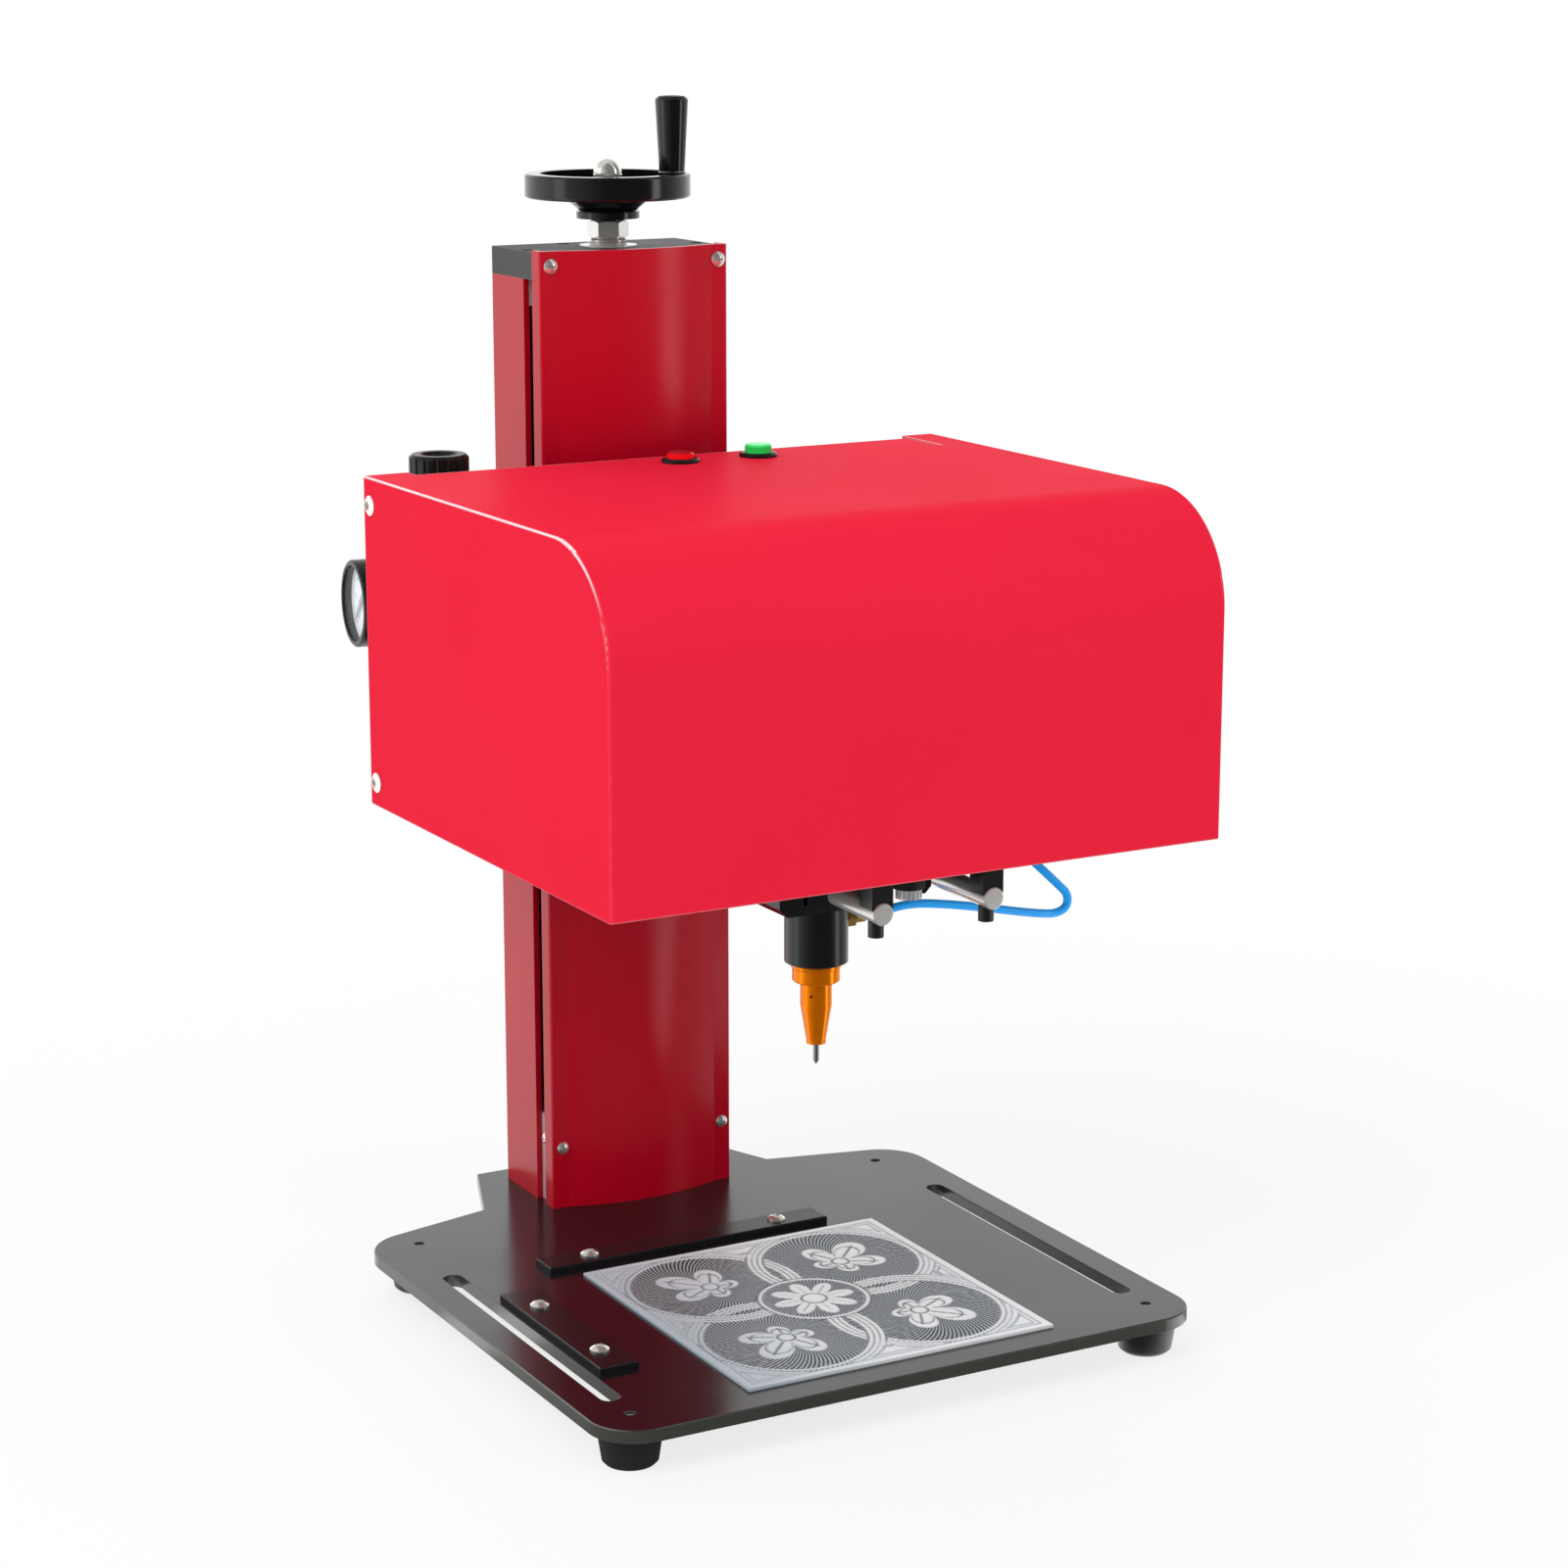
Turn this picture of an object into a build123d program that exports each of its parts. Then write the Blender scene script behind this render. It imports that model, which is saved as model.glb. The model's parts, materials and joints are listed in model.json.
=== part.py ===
from build123d import *
from math import cos, pi, radians, sin, sqrt, tan
import os

# Bench-top nameplate marking machine, in millimetres, +Z up.
# Places are in machine terms: x from the middle plane, y back from the front corner
# line of the column cover, z up from the deck. The part's origin lies on the floor,
# in the middle of the machine's footprint.

os.makedirs("parts", exist_ok=True)

# Driving dimensions

foot_height = 16.0
plate_thickness = 6.0
plate_half_width = 153.0
plate_front_y = -271.6
wing_back_y = -0.4
shoulder_x = 80.6
shoulder_y = 17.0
tab_half_width = 61.0
tab_rear_y = 68.0

column_half_width = 50.0
column_rear_y = 55.0
column_height = 460.0
column_wall = 3.0
cap_thickness = 13.0
cover_lip = 1.0
cover_wall = 2.5
cover_flange = 9.05
yoke_slot = 9.6

screw_y = 28.3
guide_x = 30.0
guide_radius = 6.0
lead_radius = 7.0

head_half_width = 152.0
head_rear_y = -24.4
head_depth = 249.3
head_bottom = 224.8
head_height = 153.5
head_bend = 50.0
sheet = 1.5
back_plate_thickness = 12.0

yoke_bottom = 262.0
yoke_height = 86.0

y_rod_left_x = -15.4
y_rod_pitch = 56.0
y_rod_radius = 5.0
y_rod_front_y = -262.0
y_rod_length = 180.0
y_rod_z = 208.5
x_rod_radius = 6.0
x_rod_z = 244.0
x_rod_front_y = -228.0
x_rod_rear_y = -64.0
cross_plate_bottom = 226.0
cross_plate_thickness = 6.0

pen_x = -17.5
pen_y = -207.0
pen_block_bottom = 201.0
needle_tip_z = 127.0

wheel_radius = 40.0
crank_radius = 31.0
crank_angle = -29.1
gauge_turn = 6.6

# Clearances, and the overrun that every cut shares

bore_gap = 0.03
running_gap = 0.05
slide_gap = 0.3
overrun = 1.0

# Shares of a fastener's own size, and turns in degrees

nut_face_share = 0.95
drive_depth_share = 0.6
quarter_turn = 90
full_turn = 360

# Places that follow from the driving dimensions

deck_z = foot_height + plate_thickness
head_front_y = head_rear_y - head_depth
head_top = head_bottom + head_height
rear_y = max(tab_rear_y, screw_y + wheel_radius)
face_y = -(head_front_y + rear_y) / 2
cap_top = column_height + cap_thickness
slot_rear_y = cover_flange + yoke_slot
yoke_top = yoke_bottom + yoke_height
y_rod_xs = (y_rod_left_x, y_rod_left_x + y_rod_pitch)
cross_x = y_rod_left_x + y_rod_pitch / 2
y_rod_rear_y = y_rod_front_y + y_rod_length
cross_plate_top = cross_plate_bottom + cross_plate_thickness
back_plate_inset = 1.6
back_plate_rear_y = head_rear_y - back_plate_inset
back_plate_front_y = back_plate_rear_y - back_plate_thickness


def at(x, y, z):
    """Position of a machine point in the part's frame."""
    return (x, face_y + y, deck_z + z)


def level(z):
    """Horizontal plane at height z above the deck."""
    return Plane(origin=at(0, 0, z), x_dir=(1, 0, 0), z_dir=(0, 0, 1))


def from_front(y):
    """Upright plane at depth y, seen from the front: its normal points forward."""
    return Plane(origin=at(0, y, 0), x_dir=(1, 0, 0), z_dir=(0, -1, 0))


def from_right(x):
    """Upright plane at x: its X runs back, and its normal points right."""
    return Plane(origin=at(x, 0, 0), x_dir=(0, 1, 0), z_dir=(1, 0, 0))


def seat_at(x, y, z, normal=(0, 0, 1), x_dir=(1, 0, 0)):
    """Plane at a machine point, on which a turned piece stands."""
    return Plane(origin=at(x, y, z), x_dir=x_dir, z_dir=normal)


def block(x, y, z, mode=Mode.ADD):
    """Box between low and high pairs of x, y and z."""
    with Locations(at((x[0] + x[1]) / 2, (y[0] + y[1]) / 2, (z[0] + z[1]) / 2)):
        Box(x[1] - x[0], y[1] - y[0], z[1] - z[0], mode=mode)


def post(x, y, z, radius, mode=Mode.ADD):
    """Upright cylinder between a low and a high z."""
    with Locations(at(x, y, (z[0] + z[1]) / 2)):
        Cylinder(radius, z[1] - z[0], mode=mode)


def bar_along_y(x, y, z, radius, mode=Mode.ADD):
    """Cylinder along Y between a low and a high y."""
    with Locations(at(x, (y[0] + y[1]) / 2, z)):
        Cylinder(radius, y[1] - y[0], rotation=(quarter_turn, 0, 0), mode=mode)


def bar_along_x(x, y, z, radius, mode=Mode.ADD):
    """Cylinder along X between a low and a high x."""
    with Locations(at((x[0] + x[1]) / 2, y, z)):
        Cylinder(radius, x[1] - x[0], rotation=(0, quarter_turn, 0), mode=mode)


def turned(seat, points, mode=Mode.ADD):
    """Solid turned about the seat's normal, from (radius, height) points."""
    profile = Plane(origin=seat.origin, x_dir=seat.x_dir, z_dir=seat.y_dir * -1)
    with BuildSketch(profile) as section:
        with BuildLine():
            Polyline(*points, close=True)
        make_face()
    revolve(section.sketch, axis=Axis(seat.origin, seat.z_dir), mode=mode)


def ring(seat, inner, outer, height, mode=Mode.ADD):
    """Flat ring that stands on the seat."""
    turned(seat, [(inner, 0), (outer, 0), (outer, height), (inner, height)], mode=mode)


def drive_recess(seat, radius, depth, sides):
    """Recess with flat sides, sunk into the seat; four sides make a cross."""
    with BuildSketch(seat) as recess:
        if sides == 4:
            Rectangle(radius * 2, radius / 2)
            Rectangle(radius / 2, radius * 2)
        else:
            RegularPolygon(radius, sides)
    extrude(recess.sketch, amount=-depth, mode=Mode.SUBTRACT)


def domed_screw(seat, head_radius, head_height, shank_radius, reach, sides=6):
    """Screw whose domed head stands on the seat, with its shank behind."""
    rim = head_height / 3
    rise = head_height - rim
    sphere = (rise**2 + head_radius**2) / (2 * rise)
    shoulder = head_height - sphere + sqrt(sphere**2 - head_radius**2 / 4)
    profile = Plane(origin=seat.origin, x_dir=seat.x_dir, z_dir=seat.y_dir * -1)
    with BuildSketch(profile) as section:
        with BuildLine():
            ThreePointArc((0, head_height), (head_radius / 2, shoulder), (head_radius, rim))
            Polyline(
                (head_radius, rim),
                (head_radius, 0),
                (shank_radius, 0),
                (shank_radius, -reach),
                (0, -reach),
                (0, head_height),
            )
        make_face()
    revolve(section.sketch, axis=Axis(seat.origin, seat.z_dir))
    drive_recess(seat.offset(head_height), head_radius / 2, head_height * drive_depth_share, sides)


def socket_screw(seat, head_radius, head_height, shank_radius, reach):
    """Screw whose straight head, with a hexagon socket, stands on the seat."""
    turned(
        seat,
        [
            (0, head_height),
            (head_radius, head_height),
            (head_radius, 0),
            (shank_radius, 0),
            (shank_radius, -reach),
            (0, -reach),
        ],
    )
    drive_recess(seat.offset(head_height), head_radius / 2, head_height / 2, 6)


def hex_nut(x, y, z, corner_radius, bore_radius, turn=0):
    """Upright hexagon nut between a low and a high z, its corners turned off at both ends."""
    face_radius = corner_radius * cos(radians(30)) * nut_face_share
    with BuildSketch(level(z[0])) as hexagon:
        with Locations((x, y)):
            RegularPolygon(corner_radius, 6, rotation=turn)
    extrude(hexagon.sketch, amount=z[1] - z[0])
    outside = corner_radius * 2 - face_radius
    drop = (outside - face_radius) * tan(radians(30))
    for end, depth in ((z[0], drop), (z[1], -drop)):
        turned(
            seat_at(x, y, end),
            [(face_radius, 0), (outside, depth), (outside, 0)],
            mode=Mode.SUBTRACT,
        )
    post(x, y, z, bore_radius, Mode.SUBTRACT)


# Base plate

front_corner_radius = 22.0
wing_corner_radius = 25.0
edge_break = 0.5
clamp_slot_inset = 19.5
clamp_slot_rear_gap = 59.2
clamp_slot_length = 175.4
clamp_slot_width = 9.5
foot_front_inset = 21.0
foot_front_side_inset = 19.1
foot_rear_inset = 12.3
foot_rear_side_inset = 24.6
foot_screw_radius = 2.5
bolt_x = 34.0
bolt_front_y = 14.0
bolt_rear_y = 44.0
bolt_radius = 3.0
bolt_head_radius = 6.0
stop_screw_radius = 2.5
rear_stop_y = -74.0
rear_stop_screw_left_x = -66.4
rear_stop_screw_right_x = 35.7
side_stop_x = -116.5
side_stop_screw_front_y = -186.1
side_stop_screw_rear_y = -123.8

clamp_slot_x = plate_half_width - clamp_slot_inset
clamp_slot_y = wing_back_y - clamp_slot_rear_gap - clamp_slot_length / 2
foot_front_x = plate_half_width - foot_front_side_inset
foot_front_y = plate_front_y + foot_front_inset
foot_rear_x = plate_half_width - foot_rear_side_inset
foot_rear_y = wing_back_y - foot_rear_inset
foot_places = [
    (-foot_front_x, foot_front_y),
    (foot_front_x, foot_front_y),
    (-foot_rear_x, foot_rear_y),
    (foot_rear_x, foot_rear_y),
]
bolt_places = [(x, y) for x in (-bolt_x, bolt_x) for y in (bolt_front_y, bolt_rear_y)]
rear_stop_screws = [(x, rear_stop_y) for x in (rear_stop_screw_left_x, rear_stop_screw_right_x)]
side_stop_screws = [(side_stop_x, y) for y in (side_stop_screw_front_y, side_stop_screw_rear_y)]

with BuildPart() as base_plate:
    with BuildSketch(level(-plate_thickness)) as deck_outline:
        with BuildLine():
            Polyline(
                (-plate_half_width, plate_front_y),
                (plate_half_width, plate_front_y),
                (plate_half_width, wing_back_y),
                (shoulder_x, shoulder_y),
                (tab_half_width, tab_rear_y),
                (-tab_half_width, tab_rear_y),
                (-shoulder_x, shoulder_y),
                (-plate_half_width, wing_back_y),
                close=True,
            )
        make_face()
        wing_corners = deck_outline.vertices().group_by(Axis.Y)[1]
        fillet(wing_corners, wing_corner_radius)
        fillet(deck_outline.vertices().group_by(Axis.Y)[0], front_corner_radius)
    extrude(amount=plate_thickness)
    chamfer(base_plate.faces().sort_by(Axis.Z)[-1].outer_wire().edges(), edge_break)
    with BuildSketch(level(0)):
        with Locations((-clamp_slot_x, clamp_slot_y), (clamp_slot_x, clamp_slot_y)):
            SlotOverall(clamp_slot_length, clamp_slot_width, rotation=quarter_turn)
        with Locations(*foot_places):
            Circle(foot_screw_radius + bore_gap)
        with Locations(*rear_stop_screws, *side_stop_screws):
            Circle(stop_screw_radius + bore_gap)
        with Locations(*bolt_places):
            Circle(bolt_radius + bore_gap)
    extrude(amount=-plate_thickness, mode=Mode.SUBTRACT)
    for x, y in bolt_places:
        turned(
            seat_at(x, y, -plate_thickness),
            [(0, 0), (bolt_head_radius + bore_gap, 0), (0, bolt_head_radius + bore_gap)],
            mode=Mode.SUBTRACT,
        )
base_plate.part.label = "base_plate"
export_step(base_plate.part, "parts/base_plate.step")

# Rubber feet, each with a recess below for its screw

foot_top_radius = 14.5
foot_bottom_radius = 12.5
foot_recess_radius = 6.0
foot_recess_depth = 9.0
foot_toe = 1.5

with BuildPart() as rubber_feet:
    for x, y in foot_places:
        turned(
            seat_at(x, y, -deck_z),
            [
                (foot_recess_radius, 0),
                (foot_bottom_radius - foot_toe, 0),
                (foot_bottom_radius, foot_toe),
                (foot_top_radius, foot_height - foot_toe),
                (foot_top_radius, foot_height),
                (foot_screw_radius + bore_gap, foot_height),
                (foot_screw_radius + bore_gap, foot_recess_depth),
                (foot_recess_radius, foot_recess_depth),
            ],
        )
rubber_feet.part.label = "rubber_feet"
export_step(rubber_feet.part, "parts/rubber_feet.step")

# Screws driven from below: one through each foot, and four into the column

foot_screw_head_radius = 4.7
foot_screw_head_height = 2.8
foot_screw_sink = 1.5
foot_screw_reach = deck_z - foot_recess_depth - foot_screw_sink
bolt_reach = 20.0

with BuildPart() as underside_screws:
    for x, y in foot_places:
        domed_screw(
            seat_at(x, y, -deck_z + foot_recess_depth, normal=(0, 0, -1)),
            foot_screw_head_radius,
            foot_screw_head_height,
            foot_screw_radius,
            foot_screw_reach,
            4,
        )
    for x, y in bolt_places:
        turned(
            seat_at(x, y, -plate_thickness),
            [
                (0, 0),
                (bolt_head_radius, 0),
                (bolt_radius, bolt_head_radius - bolt_radius),
                (bolt_radius, plate_thickness + bolt_reach),
                (0, plate_thickness + bolt_reach),
            ],
        )
        drive_recess(
            seat_at(x, y, -plate_thickness, normal=(0, 0, -1)),
            bolt_radius * drive_depth_share,
            bolt_radius * drive_depth_share,
            6,
        )
underside_screws.part.label = "underside_screws"
export_step(underside_screws.part, "parts/underside_screws.step")

# Column body: a channel whose open front leaves the slots for the yoke

column_edge_radius = 1.5
channel_inner_x = column_half_width - column_wall
channel_inner_y = column_rear_y - column_wall

with BuildPart() as column_body:
    with BuildSketch(level(0)) as channel:
        with BuildLine():
            Polyline(
                (-column_half_width, slot_rear_y),
                (-channel_inner_x, slot_rear_y),
                (-channel_inner_x, channel_inner_y),
                (channel_inner_x, channel_inner_y),
                (channel_inner_x, slot_rear_y),
                (column_half_width, slot_rear_y),
                (column_half_width, column_rear_y),
                (-column_half_width, column_rear_y),
                close=True,
            )
        make_face()
        fillet(channel.vertices().group_by(Axis.Y)[-1], column_edge_radius)
    extrude(amount=column_height)
column_body.part.label = "column_body"
export_step(column_body.part, "parts/column_body.step")

# Column cover: a bowed front between flat margins, with two short side flanges

cover_margin = 9.3
cover_bow = 8.0
pan_inset = 5.4
pan_radius = 3.1
pan_top_radius = 3.6
pan_height = 2.2
pan_shank_radius = 2.0
pan_reach = 10.0
pan_low_z = 31.3
pan_top_drop = 6.2

cover_height = cap_top + cover_lip
bow_x = column_half_width - cover_margin
pan_x = column_half_width - pan_inset
pan_places = [(x, z) for x in (-pan_x, pan_x) for z in (pan_low_z, cap_top - pan_top_drop)]
flange_inner_x = column_half_width - cover_wall

with BuildPart() as column_cover:
    with BuildSketch(level(0)) as cover_section:
        with BuildLine():
            Polyline(
                (-bow_x, 0),
                (-column_half_width, 0),
                (-column_half_width, cover_flange),
                (-flange_inner_x, cover_flange),
                (-flange_inner_x, cover_wall),
                (-bow_x, cover_wall),
            )
            ThreePointArc((-bow_x, cover_wall), (0, cover_wall - cover_bow), (bow_x, cover_wall))
            Polyline(
                (bow_x, cover_wall),
                (flange_inner_x, cover_wall),
                (flange_inner_x, cover_flange),
                (column_half_width, cover_flange),
                (column_half_width, 0),
                (bow_x, 0),
            )
            ThreePointArc((bow_x, 0), (0, -cover_bow), (-bow_x, 0))
        make_face()
        front_line = cover_section.vertices().filter_by_position(Axis.Y, -bore_gap, bore_gap)
        fillet(front_line.group_by(Axis.X)[0] + front_line.group_by(Axis.X)[-1], column_edge_radius)
    extrude(amount=cover_height)
    for x, z in pan_places:
        bar_along_y(x, (-overrun, cover_wall + overrun), z, pan_shank_radius + bore_gap, Mode.SUBTRACT)
column_cover.part.label = "column_cover"
export_step(column_cover.part, "parts/column_cover.step")

# Column cap, whose tongue fills the bow behind the cover's top

tongue_x = flange_inner_x - bore_gap
tongue_y = cover_wall + bore_gap
upper_bush_radius = 10.0
journal_radius = 6.0
cap_screw_side_inset = 4.7
cap_screw_side_y = 23.5
cap_screw_rear_x = 14.2
cap_screw_rear_inset = 6.4
cap_screw_radius = 2.0
cap_screw_head_radius = 3.4
cap_screw_head_height = 3.6
cap_screw_sink = 0.6
cap_screw_reach = 12.0
guide_seat = 8.0

cap_screw_side_x = column_half_width - cap_screw_side_inset
cap_screw_rear_y = column_rear_y - cap_screw_rear_inset
cap_screw_places = [
    (-cap_screw_side_x, cap_screw_side_y),
    (cap_screw_side_x, cap_screw_side_y),
    (-cap_screw_rear_x, cap_screw_rear_y),
    (cap_screw_rear_x, cap_screw_rear_y),
]
cap_screw_seat_z = cap_top - cap_screw_sink - cap_screw_head_height

with BuildPart() as column_cap:
    with BuildSketch(level(column_height)) as cap_outline:
        with BuildLine():
            Polyline(
                (bow_x, tongue_y),
                (tongue_x, tongue_y),
                (tongue_x, cover_flange),
                (column_half_width, cover_flange),
                (column_half_width, column_rear_y),
                (-column_half_width, column_rear_y),
                (-column_half_width, cover_flange),
                (-tongue_x, cover_flange),
                (-tongue_x, tongue_y),
                (-bow_x, tongue_y),
            )
            ThreePointArc((-bow_x, tongue_y), (0, tongue_y - cover_bow), (bow_x, tongue_y))
        make_face()
        fillet(cap_outline.vertices().group_by(Axis.Y)[-1], column_edge_radius)
    extrude(amount=cap_thickness)
    for x, y in cap_screw_places:
        post(x, y, (column_height - overrun, cap_top), cap_screw_radius + bore_gap, Mode.SUBTRACT)
        post(x, y, (cap_screw_seat_z, cap_top + overrun), cap_screw_head_radius + bore_gap, Mode.SUBTRACT)
    for x in (-guide_x, guide_x):
        guide_hole = (column_height - overrun, column_height + guide_seat)
        post(x, screw_y, guide_hole, guide_radius + bore_gap, Mode.SUBTRACT)
    bush_hole = (column_height - overrun, cap_top + overrun)
    post(0, screw_y, bush_hole, upper_bush_radius + bore_gap, Mode.SUBTRACT)
    for x in (-pan_x, pan_x):
        bar_along_y(
            x,
            (0, pan_reach + overrun),
            cap_top - pan_top_drop,
            pan_shank_radius + bore_gap,
            Mode.SUBTRACT,
        )
column_cap.part.label = "column_cap"
export_step(column_cap.part, "parts/column_cap.step")

# Blocks inside the column's two ends, which carry the rods and the lead screw

foot_block_height = 45.0
top_block_height = 13.0
guide_sink = 14.0
lower_bush_radius = 7.5
lower_bush_height = 14.0
lower_journal_radius = 5.0
side_screw_z = 33.0
side_screw_reach = 10.0
thrust_radius = 11.0

block_x = channel_inner_x - bore_gap
block_rear_y = channel_inner_y - bore_gap
top_block_z = column_height - top_block_height
side_screw_y = (cover_flange + slot_rear_y) / 2
guide_low_z = foot_block_height - guide_sink
lower_bush_z = foot_block_height - lower_bush_height

with BuildPart() as column_blocks:
    block((-block_x, block_x), (tongue_y, block_rear_y), (0, foot_block_height))
    block((-block_x, block_x), (slot_rear_y, block_rear_y), (top_block_z, column_height))
    for x in (-guide_x, guide_x):
        post(x, screw_y, (guide_low_z, column_height + overrun), guide_radius + bore_gap, Mode.SUBTRACT)
    post(0, screw_y, (lower_bush_z, foot_block_height + overrun), lower_bush_radius + bore_gap, Mode.SUBTRACT)
    post(
        0,
        screw_y,
        (top_block_z - overrun, column_height + overrun),
        thrust_radius + slide_gap,
        Mode.SUBTRACT,
    )
    for x, y in bolt_places:
        post(x, y, (-overrun, bolt_reach + overrun), bolt_radius + bore_gap, Mode.SUBTRACT)
    for x, y in cap_screw_places[2:]:
        screw_hole = (cap_screw_seat_z - cap_screw_reach - overrun, column_height + overrun)
        post(x, y, screw_hole, cap_screw_radius + bore_gap, Mode.SUBTRACT)
    for x in (-pan_x, pan_x):
        bar_along_y(x, (0, pan_reach + overrun), pan_low_z, pan_shank_radius + bore_gap, Mode.SUBTRACT)
    for side in (-1, 1):
        screw_ends = sorted((side * (block_x - side_screw_reach - overrun), side * (block_x + overrun)))
        bar_along_x(screw_ends, side_screw_y, side_screw_z, pan_shank_radius + bore_gap, Mode.SUBTRACT)
column_blocks.part.label = "column_blocks"
export_step(column_blocks.part, "parts/column_blocks.step")

# Column screws: cover pan heads, a side screw in each slot, and cap socket screws

with BuildPart() as column_screws:
    for x, z in pan_places:
        head_radius = pan_radius if z == pan_low_z else pan_top_radius
        domed_screw(
            seat_at(x, 0, z, normal=(0, -1, 0)),
            head_radius,
            pan_height,
            pan_shank_radius,
            pan_reach,
            4,
        )
    for side in (-1, 1):
        domed_screw(
            seat_at(side * block_x, side_screw_y, side_screw_z, normal=(side, 0, 0), x_dir=(0, 1, 0)),
            pan_radius,
            pan_height,
            pan_shank_radius,
            side_screw_reach,
            4,
        )
    for x, y in cap_screw_places[:2]:
        socket_screw(
            seat_at(x, y, cap_screw_seat_z),
            cap_screw_head_radius,
            cap_screw_head_height,
            cap_screw_radius,
            cap_screw_seat_z - column_height,
        )
    for x, y in cap_screw_places[2:]:
        socket_screw(
            seat_at(x, y, cap_screw_seat_z),
            cap_screw_head_radius,
            cap_screw_head_height,
            cap_screw_radius,
            cap_screw_reach,
        )
column_screws.part.label = "column_screws"
export_step(column_screws.part, "parts/column_screws.step")

# Guide rods that the head slides on

with BuildPart() as guide_rods:
    for x in (-guide_x, guide_x):
        post(x, screw_y, (guide_low_z, column_height + guide_seat), guide_radius)
    chamfer(guide_rods.edges().filter_by(GeomType.CIRCLE), edge_break)
guide_rods.part.label = "guide_rods"
export_step(guide_rods.part, "parts/guide_rods.step")

# Plain bearings of the lead screw: a flanged bush in the cap, a straight one below

bush_flange_radius = 13.9
bush_flange_height = 0.6
bush_floor = 3.0

with BuildPart() as screw_bearings:
    turned(
        seat_at(0, screw_y, column_height),
        [
            (journal_radius + running_gap, 0),
            (upper_bush_radius, 0),
            (upper_bush_radius, cap_thickness),
            (bush_flange_radius, cap_thickness),
            (bush_flange_radius, cap_thickness + bush_flange_height),
            (journal_radius + running_gap, cap_thickness + bush_flange_height),
        ],
    )
    turned(
        seat_at(0, screw_y, lower_bush_z),
        [
            (0, 0),
            (lower_bush_radius, 0),
            (lower_bush_radius, lower_bush_height),
            (lower_journal_radius + running_gap, lower_bush_height),
            (lower_journal_radius + running_gap, bush_floor),
            (0, bush_floor),
        ],
    )
screw_bearings.part.label = "screw_bearings"
export_step(screw_bearings.part, "parts/screw_bearings.step")

# Locating stops on the deck, slotted for fine setting under their screws

stop_thickness = 3.0
rear_stop_width = 16.0
rear_stop_left_x = -91.0
rear_stop_right_x = 60.0
side_stop_width = 19.0
side_stop_front_y = -206.0
side_stop_rear_y = -101.0
stop_travel = 1.5
stop_screw_head_radius = 4.4
stop_screw_head_height = 2.6

stop_slot_width = (stop_screw_radius + slide_gap) * 2
stop_slot_length = stop_slot_width + stop_travel * 2

with BuildPart() as rear_stop_bar:
    block(
        (rear_stop_left_x, rear_stop_right_x),
        (rear_stop_y - rear_stop_width / 2, rear_stop_y + rear_stop_width / 2),
        (0, stop_thickness),
    )
    chamfer(rear_stop_bar.faces().sort_by(Axis.Z)[-1].edges(), edge_break)
    with BuildSketch(level(0)):
        with Locations(*rear_stop_screws):
            SlotOverall(stop_slot_length, stop_slot_width, rotation=quarter_turn)
    extrude(amount=stop_thickness, mode=Mode.SUBTRACT)
rear_stop_bar.part.label = "rear_stop_bar"
export_step(rear_stop_bar.part, "parts/rear_stop_bar.step")

with BuildPart() as side_stop_bar:
    block(
        (side_stop_x - side_stop_width / 2, side_stop_x + side_stop_width / 2),
        (side_stop_front_y, side_stop_rear_y),
        (0, stop_thickness),
    )
    chamfer(side_stop_bar.faces().sort_by(Axis.Z)[-1].edges(), edge_break)
    with BuildSketch(level(0)):
        with Locations(*side_stop_screws):
            SlotOverall(stop_slot_length, stop_slot_width)
    extrude(amount=stop_thickness, mode=Mode.SUBTRACT)
side_stop_bar.part.label = "side_stop_bar"
export_step(side_stop_bar.part, "parts/side_stop_bar.step")

with BuildPart() as stop_screws:
    for x, y in rear_stop_screws + side_stop_screws:
        domed_screw(
            seat_at(x, y, stop_thickness),
            stop_screw_head_radius,
            stop_screw_head_height,
            stop_screw_radius,
            stop_thickness + plate_thickness - edge_break,
        )
stop_screws.part.label = "stop_screws"
export_step(stop_screws.part, "parts/stop_screws.step")

# Sample plate that lies on the deck

sample_left_x = -78.0
sample_width = 158.0
sample_front_y = -255.0
sample_depth = 164.0
sample_thickness = 1.5

with BuildPart() as sample_plate:
    block(
        (sample_left_x, sample_left_x + sample_width),
        (sample_front_y, sample_front_y + sample_depth),
        (0, sample_thickness),
    )
    chamfer(sample_plate.faces().sort_by(Axis.Z)[-1].edges(), edge_break / 2)
sample_plate.part.label = "sample_plate"
export_step(sample_plate.part, "parts/sample_plate.step")

# Stack on the lead screw above the cap, from the bush flange up

washer_radius = 9.6
washer_height = 3.3
washer_chamfer = 0.8
lock_nut_radius = 9.9
lock_nut_height = 8.4
lock_nut_turn = -25
dome_nut_turn = 5
spigot_radius = 8.0
spigot_height = 1.0
hub_radius = 15.3
hub_height = 3.3
cone_foot_radius = 13.5
cone_top_radius = 21.3
cone_height = 6.5
rim_width = 7.5
rim_height = 11.5
web_thickness = 4.5
hub_boss_radius = 10.5
hub_boss_height = 1.6
wheel_shaft_radius = 5.0
stud_radius = 4.0
dome_nut_radius = 7.9
dome_nut_height = 5.5
dome_radius = 6.8

washer_z = cap_top + bush_flange_height + running_gap
lock_nut_z = washer_z + washer_height
spigot_z = lock_nut_z + lock_nut_height
hub_z = spigot_z + spigot_height
cone_z = hub_z + hub_height
rim_z = cone_z + cone_height
rim_top_z = rim_z + rim_height
web_top_z = rim_z + web_thickness
wheel_seat_z = web_top_z + hub_boss_height
dome_z = wheel_seat_z + dome_nut_height

# Lead screw

journal_gap = 0.5
lead_low_z = foot_block_height + journal_gap
thrust_z = top_block_z + journal_gap

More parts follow.
